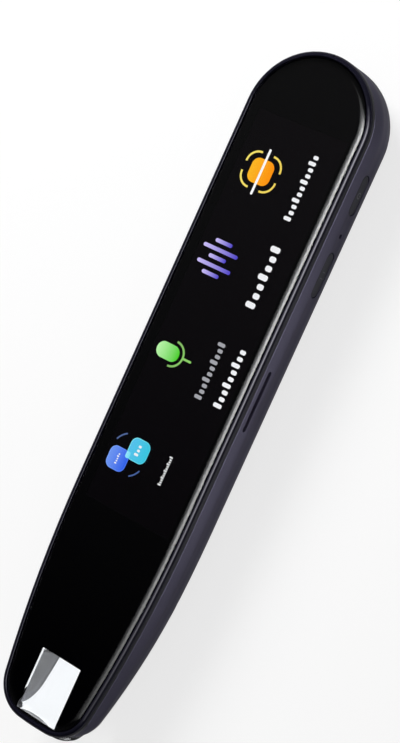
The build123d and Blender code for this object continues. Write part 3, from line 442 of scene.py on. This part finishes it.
def arc_band(radius, stroke, thickness, middle, turn):
    """Part of a flat ring, standing on the origin, centred on an angle in degrees."""
    band = bmesh.new()
    start = math.radians(middle - turn / 2)
    inner = band.verts.new((radius - stroke / 2, 0, 0))
    outer = band.verts.new((radius + stroke / 2, 0, 0))
    high = [band.verts.new((end.co.x, 0, thickness)) for end in (outer, inner)]
    side = band.faces.new((inner, outer, *high))
    bmesh.ops.rotate(band, cent=(0, 0, 0), matrix=Matrix.Rotation(start, 3, "Z"), verts=band.verts)
    side.copy()   # stays behind and closes the start
    bmesh.ops.spin(band, geom=[side], cent=(0, 0, 0), axis=(0, 0, 1), angle=math.radians(turn),
                   steps=14, use_duplicate=False)
    bmesh.ops.remove_doubles(band, verts=band.verts, dist=1e-7)
    return band


def joined(shapes, place=Matrix.Identity(4)):
    """One shape from several, moved to a place."""
    whole = bmesh.new()
    for shape, spot in shapes:
        step = bpy.data.meshes.new("step")
        shape.transform(place @ spot)
        shape.to_mesh(step)
        shape.free()
        whole.from_mesh(step)
        bpy.data.meshes.remove(step)
    return whole


cap_grain = 0.3

# darker and duller than the shell, without its flake
satin_key, place = new_finish("satin dark moulded key cap", {
    "Base Color": linear("#34343c"), "Metallic": 0.35, "Roughness": 0.42, "IOR": 1.5})
vary(satin_key, "Roughness", grain(satin_key, place, 3.0), 0.36, 0.48)
roughen(satin_key, grain(satin_key, place, cap_grain), 0.004, 0.3)
dress(satin_key, "power_button", "function_button")

# a flat grey that reads without shining
mark_ink, place = new_finish("grey pad-printed ink", {
    "Base Color": linear("#6c6c74"), "Roughness": 0.6, "IOR": 1.5})
vary(mark_ink, "Roughness", grain(mark_ink, place, 0.5), 0.5, 0.7)

ink_depth = 0.00002
mark_radius = 0.00062
mark_stroke = 0.00018
stroke_round = mark_stroke * 0.45
stroke_middle = mark_radius * 0.8
ring_turn = 290               # leaves a gap for the stroke
dash_length = 0.0011
dash_places = (-0.0007, 0.0007)
onto_side = Matrix(((0, 0, 1), (0, 1, 0), (-1, 0, 0))).to_4x4()   # plate face to +X


def cap_face(node):
    """Middle of a key's outer face."""
    low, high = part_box(node)
    return Vector((high.x, (low.y + high.y) / 2, (low.z + high.z) / 2))


stroke = rounded_plate(mark_radius, mark_stroke, ink_depth, stroke_round)
ring = arc_band(mark_radius, mark_stroke, ink_depth, 0, ring_turn)
parts = [(ring, Matrix.Rotation(math.pi, 4, "Z")),
         (stroke, Matrix.Translation((stroke_middle, 0, 0)))]
spot = Matrix.Translation(cap_face("power_button")) @ onto_side
as_piece("power_mark", joined(parts, spot), mark_ink, "power_button")

dashes = [(rounded_plate(dash_length, mark_stroke, ink_depth, stroke_round),
           Matrix.Translation((0, y, 0))) for y in dash_places]
spot = Matrix.Translation(cap_face("function_button")) @ onto_side
as_piece("function_mark", joined(dashes, spot), mark_ink, "function_button")


# Switches behind the keys: tinned steel bodies with black pins on an amber flex, backed by a
# steel bracket, and the microphone between them with its rubber boot against the side wall.
tin_grain = 0.8

# bright silver with cloudy reflections
tinned_steel, place = new_finish("bright tinned steel sheet", {
    "Base Color": linear("#cfcfd2"), "Metallic": 1.0, "Roughness": 0.28})
vary(tinned_steel, "Roughness", grain(tinned_steel, place, tin_grain), 0.2, 0.38)
roughen(tinned_steel, grain(tinned_steel, place, tin_grain, detail=3.0), 0.006, 0.4)
dress(tinned_steel, "power_switch", "function_switch", "tip_switch", "side_key_bracket",
      "microphone", "processor_shield", "wireless_shield", "card_socket", "usb_c_socket",
      "board_screws")

package_grain = 0.15

# matt black with a dusty grain
chip_package, place = new_finish("black moulded epoxy", {
    "Base Color": linear("#18181b"), "Roughness": 0.58, "IOR": 1.55})
vary(chip_package, "Base Color", grain(chip_package, place, package_grain), linear("#121214"),
     linear("#242428"))
roughen(chip_package, grain(chip_package, place, package_grain), 0.006, 0.4)
dress(chip_package, "power_switch_plunger", "function_switch_plunger", "tip_switch_plunger",
      "processor", "memory_chip", "power_chip", "usb_c_tongue", "camera_module")

# a soft black that hardly shines
boot_rubber, place = new_finish("soft black silicone rubber", {
    "Base Color": linear("#141416"), "Roughness": 0.75, "IOR": 1.41})
vary(boot_rubber, "Roughness", grain(boot_rubber, place, 0.6), 0.68, 0.85)
roughen(boot_rubber, grain(boot_rubber, place, 0.2), 0.005, 0.5)
dress(boot_rubber, "microphone_boot")


# Main board: green solder mask over glass laminate, with tracks that show through it, and
# shields, chips, sockets and rows of small capacitors soldered on.
track_pitch = 2.8274          # drawn much coarser than real tracks
track_field = 5.0             # patches in which the tracks run one way

# glossy dark green, paler where a track stands up under it
solder_mask, place = new_finish("green solder mask over copper tracks", {
    "Base Color": linear("#0f4a2c"), "Roughness": 0.3, "IOR": 1.5})
tree = solder_mask.node_tree
ways = [add_node(tree, "ShaderNodeTexWave", {
    "bands_direction": way, "Scale": crests(track_pitch)}, {"Vector": place})
    for way in ("X", "Y")]
fields = add_node(tree, "ShaderNodeTexVoronoi", {
    "distance": "CHEBYCHEV", "Scale": repeats(track_field)}, {"Vector": place})
pick = add_node(tree, "ShaderNodeSeparateXYZ", {}, {0: fields.outputs["Color"]})
pick = add_node(tree, "ShaderNodeMath", {"operation": "GREATER_THAN", 1: 0.5},
                {0: pick.outputs["X"]})
run = add_node(tree, "ShaderNodeMix", {}, {
    "Factor": pick.outputs[0], "A": ways[0].outputs["Fac"], "B": ways[1].outputs["Fac"]})
copper = add_node(tree, "ShaderNodeMath", {"operation": "GREATER_THAN", 1: 0.6},
                  {0: run.outputs["Result"]})
vary(solder_mask, "Base Color", copper.outputs[0], linear("#0c3d24"), linear("#1d6a42"))
roughen(solder_mask, copper.outputs[0], 0.02, 0.4)
dress(solder_mask, "main_board", "scan_light_board")

# cream-coloured and matt, with a faint grain of fibre
pale_nylon, place = new_finish("pale glass-filled nylon", {
    "Base Color": linear("#c9c3b2"), "Roughness": 0.5, "IOR": 1.53})
vary(pale_nylon, "Base Color", grain(pale_nylon, place, 0.4), linear("#bdb6a3"),
     linear("#d6d1c2"))
roughen(pale_nylon, grain(pale_nylon, place, 0.3), 0.008, 0.4)
dress(pale_nylon, "board_connectors")

# grey steel with a fine even grain
sprung_steel, place = new_finish("drawn spring steel", {
    "Base Color": linear("#a9a9ae"), "Metallic": 1.0, "Roughness": 0.3})
vary(sprung_steel, "Roughness", grain(sprung_steel, place, 0.5), 0.24, 0.4)
roughen(sprung_steel, grain(sprung_steel, place, 0.15), 0.003, 0.4)
dress(sprung_steel, "spring_contacts", "antenna_contact", "nose_springs")

# tan and chalky
ceramic, place = new_finish("tan barium titanate ceramic", {
    "Base Color": linear("#9a7a52"), "Roughness": 0.55, "IOR": 1.6})
vary(ceramic, "Base Color", grain(ceramic, place, 0.3), linear("#8d6d45"), linear("#ab8a60"))

# small bright spots of silver
solder, place = new_finish("tinned solder ends", {
    "Base Color": linear("#c4c4c8"), "Metallic": 1.0, "Roughness": 0.3})
vary(solder, "Roughness", grain(solder, place, 0.2), 0.22, 0.42)

capacitor = (0.0005, 0.001, 0.0005)
capacitor_end = 0.00025
capacitor_waist = 0.96        # width and height of the ceramic between its ends
capacitor_edge = 0.00003
capacitor_pitch = 0.0012
capacitor_gap = 0.0014        # from what it stands beside to the middle of the row


def small_box(size, place, edge):
    """Box with softened edges around a middle."""
    box = bmesh.new()
    bmesh.ops.create_cube(box, size=1.0)
    bmesh.ops.scale(box, vec=size, verts=box.verts)
    bmesh.ops.bevel(box, geom=box.edges[:], offset=edge, segments=1, profile=0.5,
                    affect="EDGES", material=-1)
    return box, Matrix.Translation(place)


board_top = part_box("main_board")[1].z
bodies, ends = [], []
for node, count in (("processor_shield", 12), ("wireless_shield", 7), ("power_chip", 4)):
    low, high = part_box(node)
    for number in range(count):
        x = low.x + (number + 0.5) * capacitor_pitch
        y = high.y + capacitor_gap
        z = board_top + capacitor[2] / 2
        waist = (capacitor[0] * capacitor_waist, capacitor[1] - 2 * capacitor_end,
                 capacitor[2] * capacitor_waist)
        bodies.append(small_box(waist, (x, y, z), capacitor_edge))
        for side in (-1, 1):
            end_y = y + side * (capacitor[1] - capacitor_end) / 2
            ends.append(small_box((capacitor[0], capacitor_end, capacitor[2]), (x, end_y, z),
                                  capacitor_edge))
as_piece("capacitor_bodies", joined(bodies), ceramic, "root")
as_piece("capacitor_ends", joined(ends), solder, "root")


# Charging socket contacts: a row of gold plated strips on each face of the black tongue, at
# the half millimetre pitch of that connector.
contact_count = 12
contact_pitch = 0.0005
contact_width = 0.00026
contact_length = 0.0034
contact_middle = 0.0021       # from the end of the tongue
contact_proud = 0.00003
contact_edge = 0.00001
tongue_half = 0.00035         # thickness

# a warm yellow shine
gold_plate, place = new_finish("hard gold plate over nickel", {
    "Base Color": linear("#e3b75c"), "Metallic": 1.0, "Roughness": 0.22})
vary(gold_plate, "Roughness", grain(gold_plate, place, 0.4), 0.16, 0.32)

low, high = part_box("usb_c_tongue")
tongue_z = (low.z + high.z) / 2
strips = []
for side in (-1, 1):
    for number in range(contact_count):
        x = (number - (contact_count - 1) / 2) * contact_pitch
        z = tongue_z + side * (tongue_half + contact_proud / 2)
        strips.append(small_box((contact_width, contact_length, contact_proud),
                                (x, high.y - contact_middle, z), contact_edge))
as_piece("charging_contacts", joined(strips), gold_plate, "root")


# Scanner: a dark bulkhead across the body with the camera behind it, a coated glass lens in
# its barrel, and two white lights under yellow phosphor on a small board.

# dull dark grey in soft patches
carrier_plastic, place = new_finish("dark grey moulded polycarbonate", {
    "Base Color": linear("#2b2b30"), "Roughness": 0.6, "IOR": 1.58})
vary(carrier_plastic, "Roughness", grain(carrier_plastic, place, 3.0), 0.54, 0.68)
roughen(carrier_plastic, grain(carrier_plastic, place, 0.25), 0.01, 0.4)
dress(carrier_plastic, "scan_bulkhead", "inner_chassis")


def let_lamps_through(finish):
    """Lets lamp light pass clear plastic or glass, so that what is behind it is lit."""
    tree = finish.node_tree
    path = add_node(tree, "ShaderNodeLightPath")
    clear = add_node(tree, "ShaderNodeBsdfTransparent")
    both = add_node(tree, "ShaderNodeMixShader", {}, {
        0: path.outputs["Is Shadow Ray"], 1: tree.nodes["Principled BSDF"].outputs[0],
        2: clear.outputs[0]})
    tree.links.new(both.outputs[0], tree.nodes["Material Output"].inputs["Surface"])


# clear, with a violet tinge where it catches the light
coated_lens, place = new_finish("optical glass with a violet coating", {
    "Base Color": linear("#e4e6ff"), "Roughness": 0.02, "IOR": 1.6, "Transmission Weight": 1.0,
    "Thin Film Thickness": 160.0, "Thin Film IOR": 1.38})
vary(coated_lens, "Roughness", grain(coated_lens, place, 1.0), 0.01, 0.04)
let_lamps_through(coated_lens)
dress(coated_lens, "camera_lens")

# clean white with a slight shine
lamp_package, place = new_finish("white lamp package", {
    "Base Color": linear("#efeee8"), "Roughness": 0.4, "IOR": 1.5})
vary(lamp_package, "Roughness", grain(lamp_package, place, 0.3), 0.34, 0.48)
dress(lamp_package, "scan_leds")

# an opaque warm yellow with a fine grain
phosphor, place = new_finish("yellow phosphor in silicone", {
    "Base Color": linear("#e9c83e"), "Roughness": 0.5, "IOR": 1.41})
vary(phosphor, "Base Color", grain(phosphor, place, 0.15), linear("#dfb92c"), linear("#f0d763"))

phosphor_radius = 0.00055
phosphor_flatness = 0.35

low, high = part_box("scan_leds")
drops = []
for x in (low.x + (high.z - low.z) / 2, high.x - (high.z - low.z) / 2):
    drop = bmesh.new()
    bmesh.ops.create_uvsphere(drop, u_segments=20, v_segments=10, radius=1.0)
    bmesh.ops.bisect_plane(drop, geom=drop.verts[:] + drop.edges[:] + drop.faces[:], dist=0.0001,
                           plane_co=(0, 0, 0), plane_no=(0, 1, 0), clear_outer=True)
    bmesh.ops.holes_fill(drop, edges=[edge for edge in drop.edges if edge.is_boundary])
    bmesh.ops.scale(drop, vec=(phosphor_radius, phosphor_flatness * phosphor_radius,
                               phosphor_radius), verts=drop.verts)
    drops.append((drop, Matrix.Translation((x, low.y, (low.z + high.z) / 2))))
as_piece("lamp_phosphor", joined(drops), phosphor, "root")


# Scan nose: a hollow prism moulded in clear polycarbonate, which slides back a little when it
# is pressed on the page. The walls are polished, with the faint waves that moulding leaves.
flow_wave = 6.0

# clear as glass, with bright edges and slightly swimming reflections
clear_nose, place = new_finish("clear polished polycarbonate", {
    "Base Color": linear("#f6f8fa"), "Roughness": 0.02, "IOR": 1.585, "Transmission Weight": 1.0})
vary(clear_nose, "Roughness", grain(clear_nose, place, flow_wave), 0.01, 0.05)
roughen(clear_nose, grain(clear_nose, place, flow_wave), 0.02, 0.2)
let_lamps_through(clear_nose)
dress(clear_nose, "scan_nose")


# Display: a dark liquid crystal panel on its white light guide, with a lit menu of four signs.
# Labels are rows of plain marks, so that no words are drawn.

# smooth white, with faint dots that scatter the light
guide_white, place = new_finish("white light guide and tray", {
    "Base Color": linear("#e8eaee"), "Roughness": 0.35, "IOR": 1.49})
dots = add_node(guide_white.node_tree, "ShaderNodeTexVoronoi", {"Scale": repeats(0.6)},
                {"Vector": place})
vary(guide_white, "Roughness", dots.outputs["Distance"], 0.25, 0.55)
dress(guide_white, "display_backlight")

# nearly black, with no shine of its own, as the glass is bonded to it
panel_dark, place = new_finish("unlit liquid crystal panel", {
    "Base Color": linear("#060407"), "Roughness": 0.3, "IOR": 1.5, "Specular IOR Level": 0.0})
vary(panel_dark, "Roughness", grain(panel_dark, place, 0.4), 0.26, 0.36)
dress(panel_dark, "display_panel")

lit_strength = 1.08
sign_gap = 0.00002
sign_depth = 0.00002
sign_layer = 0.000025         # from one lit sheet to the next where signs overlap
sign_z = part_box("display_panel")[1].z + sign_gap


def lit(name, near, far, low_x, high_x):
    """Light of one colour that runs to another across the display."""
    glow, place = new_finish(name, {
        "Base Color": linear("#000000"), "Roughness": 0.4, "Emission Strength": lit_strength})
    across = add_node(glow.node_tree, "ShaderNodeSeparateXYZ", {}, {0: place})
    share = add_node(glow.node_tree, "ShaderNodeMapRange", {
        "From Min": low_x / 1000, "From Max": high_x / 1000}, {"Value": across.outputs["X"]})
    vary(glow, "Emission Color", share.outputs["Result"], linear(near), linear(far))
    return glow


def at(x, y, layer=0):
    """Place on the display, in millimetres from the middle of the device."""
    return Matrix.Translation((x / 1000, y / 1000, sign_z + layer * sign_layer))


def plate_mm(width, length, corner):
    """Lit plate with rounded corners."""
    return rounded_plate(width / 1000, length / 1000, sign_depth, corner / 1000)


def arc_mm(radius, stroke, middle, turn):
    """Lit arc."""
    return arc_band(radius / 1000, stroke / 1000, sign_depth, middle, turn)


def sign(name, shapes, finish):
    """Lit sign behind the glass."""
    return as_piece(name, joined(shapes), finish, "root")


# scan sign: a tile between four corner arcs, crossed by a line
scan_x, scan_y = -4.85, 50.4
scan_corner = (1.6, 1.2)      # from the middle to where a corner's arc is centred
sign("scan_sign_tile", [(plate_mm(5.6, 5.5, 1.7), at(scan_x, scan_y))],
     lit("orange light", "#ffb81f", "#ff9200", scan_x - 2.6, scan_x + 2.6))
sign("scan_sign_corners", [(arc_mm(2.75, 0.45, turn, 96), at(
    scan_x + math.copysign(scan_corner[0], math.cos(math.radians(turn))),
    scan_y + math.copysign(scan_corner[1], math.sin(math.radians(turn)))))
    for turn in (45, 135, 225, 315)],
     lit("pale yellow light", "#f8e46c", "#f3d45c", scan_x - 5, scan_x + 5))
sign("scan_sign_line", [(plate_mm(0.55, 10.4, 0.25), at(scan_x + 0.05, scan_y, 1))],
     lit("white light", "#ffffff", "#ffffff", -1, 1))

# voice sign: five bars, each with the y of its middle and its length
wave_x, wave_bars = -5.85, ((33.5, 4.4), (31.7, 9.0), (29.95, 4.5), (28.1, 8.8), (26.3, 4.4))
bar_width, bar_round = 0.85, 0.41
for name, chosen in (("short", wave_bars[::2]), ("long", wave_bars[1::2])):
    reach = chosen[0][1] / 2
    sign(f"voice_sign_{name}", [(plate_mm(length, bar_width, bar_round), at(wave_x, y))
                                for y, length in chosen],
         lit(f"violet light, {name} bars", "#cdbff8", "#4c41c8", wave_x - reach, wave_x + reach))

# talk sign: the capsule, cup and stem of a microphone
talk_x, talk_y = -7.45, 7.45
sign("talk_sign_capsule", [(plate_mm(5.9, 3.6, 1.75), at(talk_x, talk_y))],
     lit("green light", "#bdf7ab", "#49d022", talk_x - 2.9, talk_x + 2.9))
sign("talk_sign_stand", [(arc_mm(2.75, 0.45, 0, 180), at(talk_x + 1.25, talk_y)),
                         (plate_mm(2.3, 0.5, 0.24), at(talk_x + 5.15, talk_y))],
     lit("soft green light", "#7fae62", "#8fd469", talk_x, talk_x + 6))

# pair sign: two tiles with pale rims that overlap, between two arcs
pair_x, pair_y, tile_side, tile_round, tile_rim = -5.9, -16.3, 5.1, 1.6, 0.16
tile_shift = (2.0, 1.8)       # of each tile from the middle
for name, shift, layer, rim, near, far in (
        ("back", -1, 0, "#7fa9ff", "#7199f4", "#2c5fea"),
        ("front", 1, 2, "#86ecf2", "#58c4ee", "#36c6df")):
    spot = (pair_x + tile_shift[0] * shift, pair_y + tile_shift[1] * shift)
    inner = tile_side - 2 * tile_rim
    sign(f"pair_sign_{name}_rim", [(plate_mm(tile_side, tile_side, tile_round), at(*spot, layer))],
         lit(f"pale rim light, {name} tile", rim, far, spot[0] - 2.5, spot[0] + 4))
    sign(f"pair_sign_{name}", [(plate_mm(inner, inner, tile_round - tile_rim),
                                at(*spot, layer + 1))],
         lit(f"tile light, {name}", near, far, spot[0] - 2.5, spot[0] + 2.5))
overlap = (tile_side - 2 * tile_shift[0], tile_side - 2 * tile_shift[1])
sign("pair_sign_overlap", [(plate_mm(*overlap, 0.45), at(pair_x, pair_y, 4))],
     lit("pale cyan light", "#9be8fd", "#74dff8", pair_x - 0.5, pair_x + 0.5))
sign("pair_sign_arcs", [(arc_mm(4.6, 0.32, middle, 36), at(pair_x, pair_y))
                        for middle in (137, 317)],
     lit("dim blue light", "#54699b", "#46619e", pair_x - 4, pair_x + 4))

# each label: x of its middle, y where it starts and ends, height of its marks, how many, layer
bright_labels = ((5.9, 42.9, 58.2, 1.2, 11), (6.5, 22.9, 37.7, 1.6, 7),
                 (9.2, 1.1, 15.0, 1.4, 9), (4.1, -19.0, -12.2, 0.55, 13),
                 (pair_x + 2.0, pair_y + 0.4, pair_y + 3.2, 0.7, 3, 4),
                 (pair_x - 2.0, pair_y - 3.1, pair_y - 0.5, 0.35, 5, 2))
dim_labels = ((4.1, 1.0, 14.4, 1.25, 10),)
mark_share = 0.6              # of the pitch from mark to mark
mark_corner = 0.4             # of a mark's width
tall_mark = 1.5


def label(x, low, high, height, count, layer=0):
    """Row of plain marks in place of a word. Every third mark stands taller."""
    pitch = (high - low) / count
    marks = []
    for number in range(count):
        size = height * (tall_mark if number % 3 == 0 else 1.0)
        spot = at(x - (size - height) / 2, low + (number + 0.5) * pitch, layer)
        width = pitch * mark_share
        marks.append((plate_mm(size, width, width * mark_corner), spot))
    return marks


sign("label_marks", [part for row in bright_labels for part in label(*row)],
     lit("white label light", "#f2f2f4", "#f2f2f4", -1, 1))
sign("label_marks_dim", [part for row in dim_labels for part in label(*row)],
     lit("grey label light", "#a4a4aa", "#a4a4aa", -1, 1))


# Cover glass: clear flat glass whose edge is ground to a wide soft curve and polished. Black
# ink on its inside leaves the display and the scan window open, and a clear film bonds it to
# the ledge of the frame.

# a flat full black, with no shine of its own, as it lies behind the glass
print_ink, place = new_finish("opaque black screen-printed ink", {
    "Base Color": linear("#020203"), "Roughness": 0.55, "IOR": 1.5, "Specular IOR Level": 0.0})
vary(print_ink, "Roughness", grain(print_ink, place, 0.5), 0.5, 0.62)
dress(print_ink, "glass_print")

# clear and a little hazy
bonding_film, place = new_finish("clear bonding film", {
    "Base Color": linear("#dfe3e6"), "Roughness": 0.15, "IOR": 1.47, "Transmission Weight": 0.8})
vary(bonding_film, "Roughness", grain(bonding_film, place, 1.0), 0.1, 0.22)
let_lamps_through(bonding_film)
dress(bonding_film, "glass_adhesive")

wipe_mark = 22.0              # faint wiping marks, too weak to grey the black

# colourless, with sharp reflections
clear_glass, place = new_finish("clear toughened glass", {
    "Base Color": linear("#fbfcfd"), "Roughness": 0.0, "IOR": 1.51, "Transmission Weight": 1.0})
vary(clear_glass, "Roughness", grain(clear_glass, place, wipe_mark, detail=4.0), 0.0, 0.012)
let_lamps_through(clear_glass)

# outline of the body, in millimetres: round end, straight side, drawn-in side, corner and tip
half_width, top_y, taper_y, frame_tip_y = 15.2, 79.0, -25.0, -78.2
taper_radius, corner_radius, tip_radius = 310.0, 8.5, 68.0
weld = 0.001
round_centre = Vector((0, top_y - half_width))
side_centre = Vector((half_width - taper_radius, taper_y))
tip_centre = Vector((0, frame_tip_y + tip_radius))
corner_centre = max(intersect_sphere_sphere_2d(
    side_centre, taper_radius - corner_radius, tip_centre, tip_radius - corner_radius),
    key=lambda spot: spot.x)
side_end = math.atan2(*(corner_centre - side_centre).yx)
corner_end = math.atan2(*(corner_centre - tip_centre).yx)


def drawn(start, *moves):
    """Section at the round end. Each move is a line to an inset and a height, or a turn about
    an inset and a height by an angle in some steps."""
    section = bmesh.new()
    end = section.verts.new((0, top_y - start[0], start[1]))
    for inset, height, *turn in moves:
        spot = Vector((0, top_y - inset, height))
        if turn:
            spun = bmesh.ops.spin(section, geom=[end], cent=spot, axis=(1, 0, 0),
                                  angle=math.radians(turn[0]), steps=turn[1])["geom_last"]
            end = [part for part in spun if isinstance(part, bmesh.types.BMVert)][0]
        else:
            end = bmesh.ops.extrude_vert_indiv(section, verts=[end])["verts"][0]
            end.co = spot
    return section


def swept(shape):
    """Carries a section from the round end down one side to the tip, and mirrors it."""
    ends = shape.verts[:] + shape.edges[:]
    for centre, angle, steps, onward in (
            (round_centre, -math.pi / 2, 48, taper_y - round_centre.y),
            (side_centre, side_end, 30, 0),
            (corner_centre, corner_end - side_end, 20, 0),
            (tip_centre, -math.pi / 2 - corner_end, 8, 0)):
        ends = bmesh.ops.spin(shape, geom=ends, cent=(*centre, 0), axis=(0, 0, 1),
                              angle=angle, steps=steps)["geom_last"]
        if onward:
            edges = [part for part in ends if isinstance(part, bmesh.types.BMEdge)]
            ends = bmesh.ops.extrude_edge_only(shape, edges=edges)["geom"]
            corners = [part for part in ends if isinstance(part, bmesh.types.BMVert)]
            bmesh.ops.translate(shape, vec=(0, onward, 0), verts=corners)
            ends = [part for part in ends if not isinstance(part, bmesh.types.BMFace)]
    bmesh.ops.mirror(shape, geom=shape.verts[:] + shape.edges[:] + shape.faces[:], axis="X",
                     merge_dist=weld)
    bmesh.ops.remove_doubles(shape, verts=shape.verts, dist=weld)
    return shape


glass_top, glass_low = 16.5, 15.6
glass_inset = 1.4
ground_radius = 2.6           # of the soft curve along the edge
ground_turn = 30.0
edge_round = 0.3
top_border = 0.1              # strip that keeps the flat top free of the edge's shading

slope = math.radians(ground_turn)
ground_inset = glass_inset + (ground_radius - edge_round) * math.sin(slope) + edge_round
shape = swept(drawn(
    (ground_inset, glass_top),
    (ground_inset, glass_top - ground_radius, -ground_turn, 16),
    (glass_inset + edge_round,
     glass_top - ground_radius + (ground_radius - edge_round) * math.cos(slope),
     ground_turn - 90, 5),
    (glass_inset, glass_low)))
rims = [edge for edge in shape.edges if edge.is_boundary]
caps = bmesh.ops.holes_fill(shape, edges=rims)["faces"]
top_face = [face for face in caps if face.calc_center_median().z > (glass_low + glass_top) / 2]
bmesh.ops.inset_region(shape, faces=top_face, thickness=top_border, use_even_offset=True)
bmesh.ops.scale(shape, vec=(0.001, 0.001, 0.001), verts=shape.verts)   # millimetres to metres
glass = as_piece("front_glass", shape, clear_glass, "root")
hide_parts("cover_glass")


# Front frame: a moulding of ABS round the glass, sprayed glossy black with a violet metal
# flake that shows in its highlights. Its tongue plugs into the shell behind the seam.

# a deep gloss, with a tinge of violet in its highlights
gloss_frame, place = new_finish("glossy violet-black metallic lacquer", {
    "Base Color": linear("#1a1926"), "Metallic": 0.3, "Roughness": 0.12, "IOR": 1.5,
    "Specular IOR Level": 0.35})
vary(gloss_frame, "Roughness", grain(gloss_frame, place, 10.0), 0.1, 0.15)
roughen(gloss_frame, grain(gloss_frame, place, 9.0), 0.01, 0.08)
dress(gloss_frame, "front_frame")
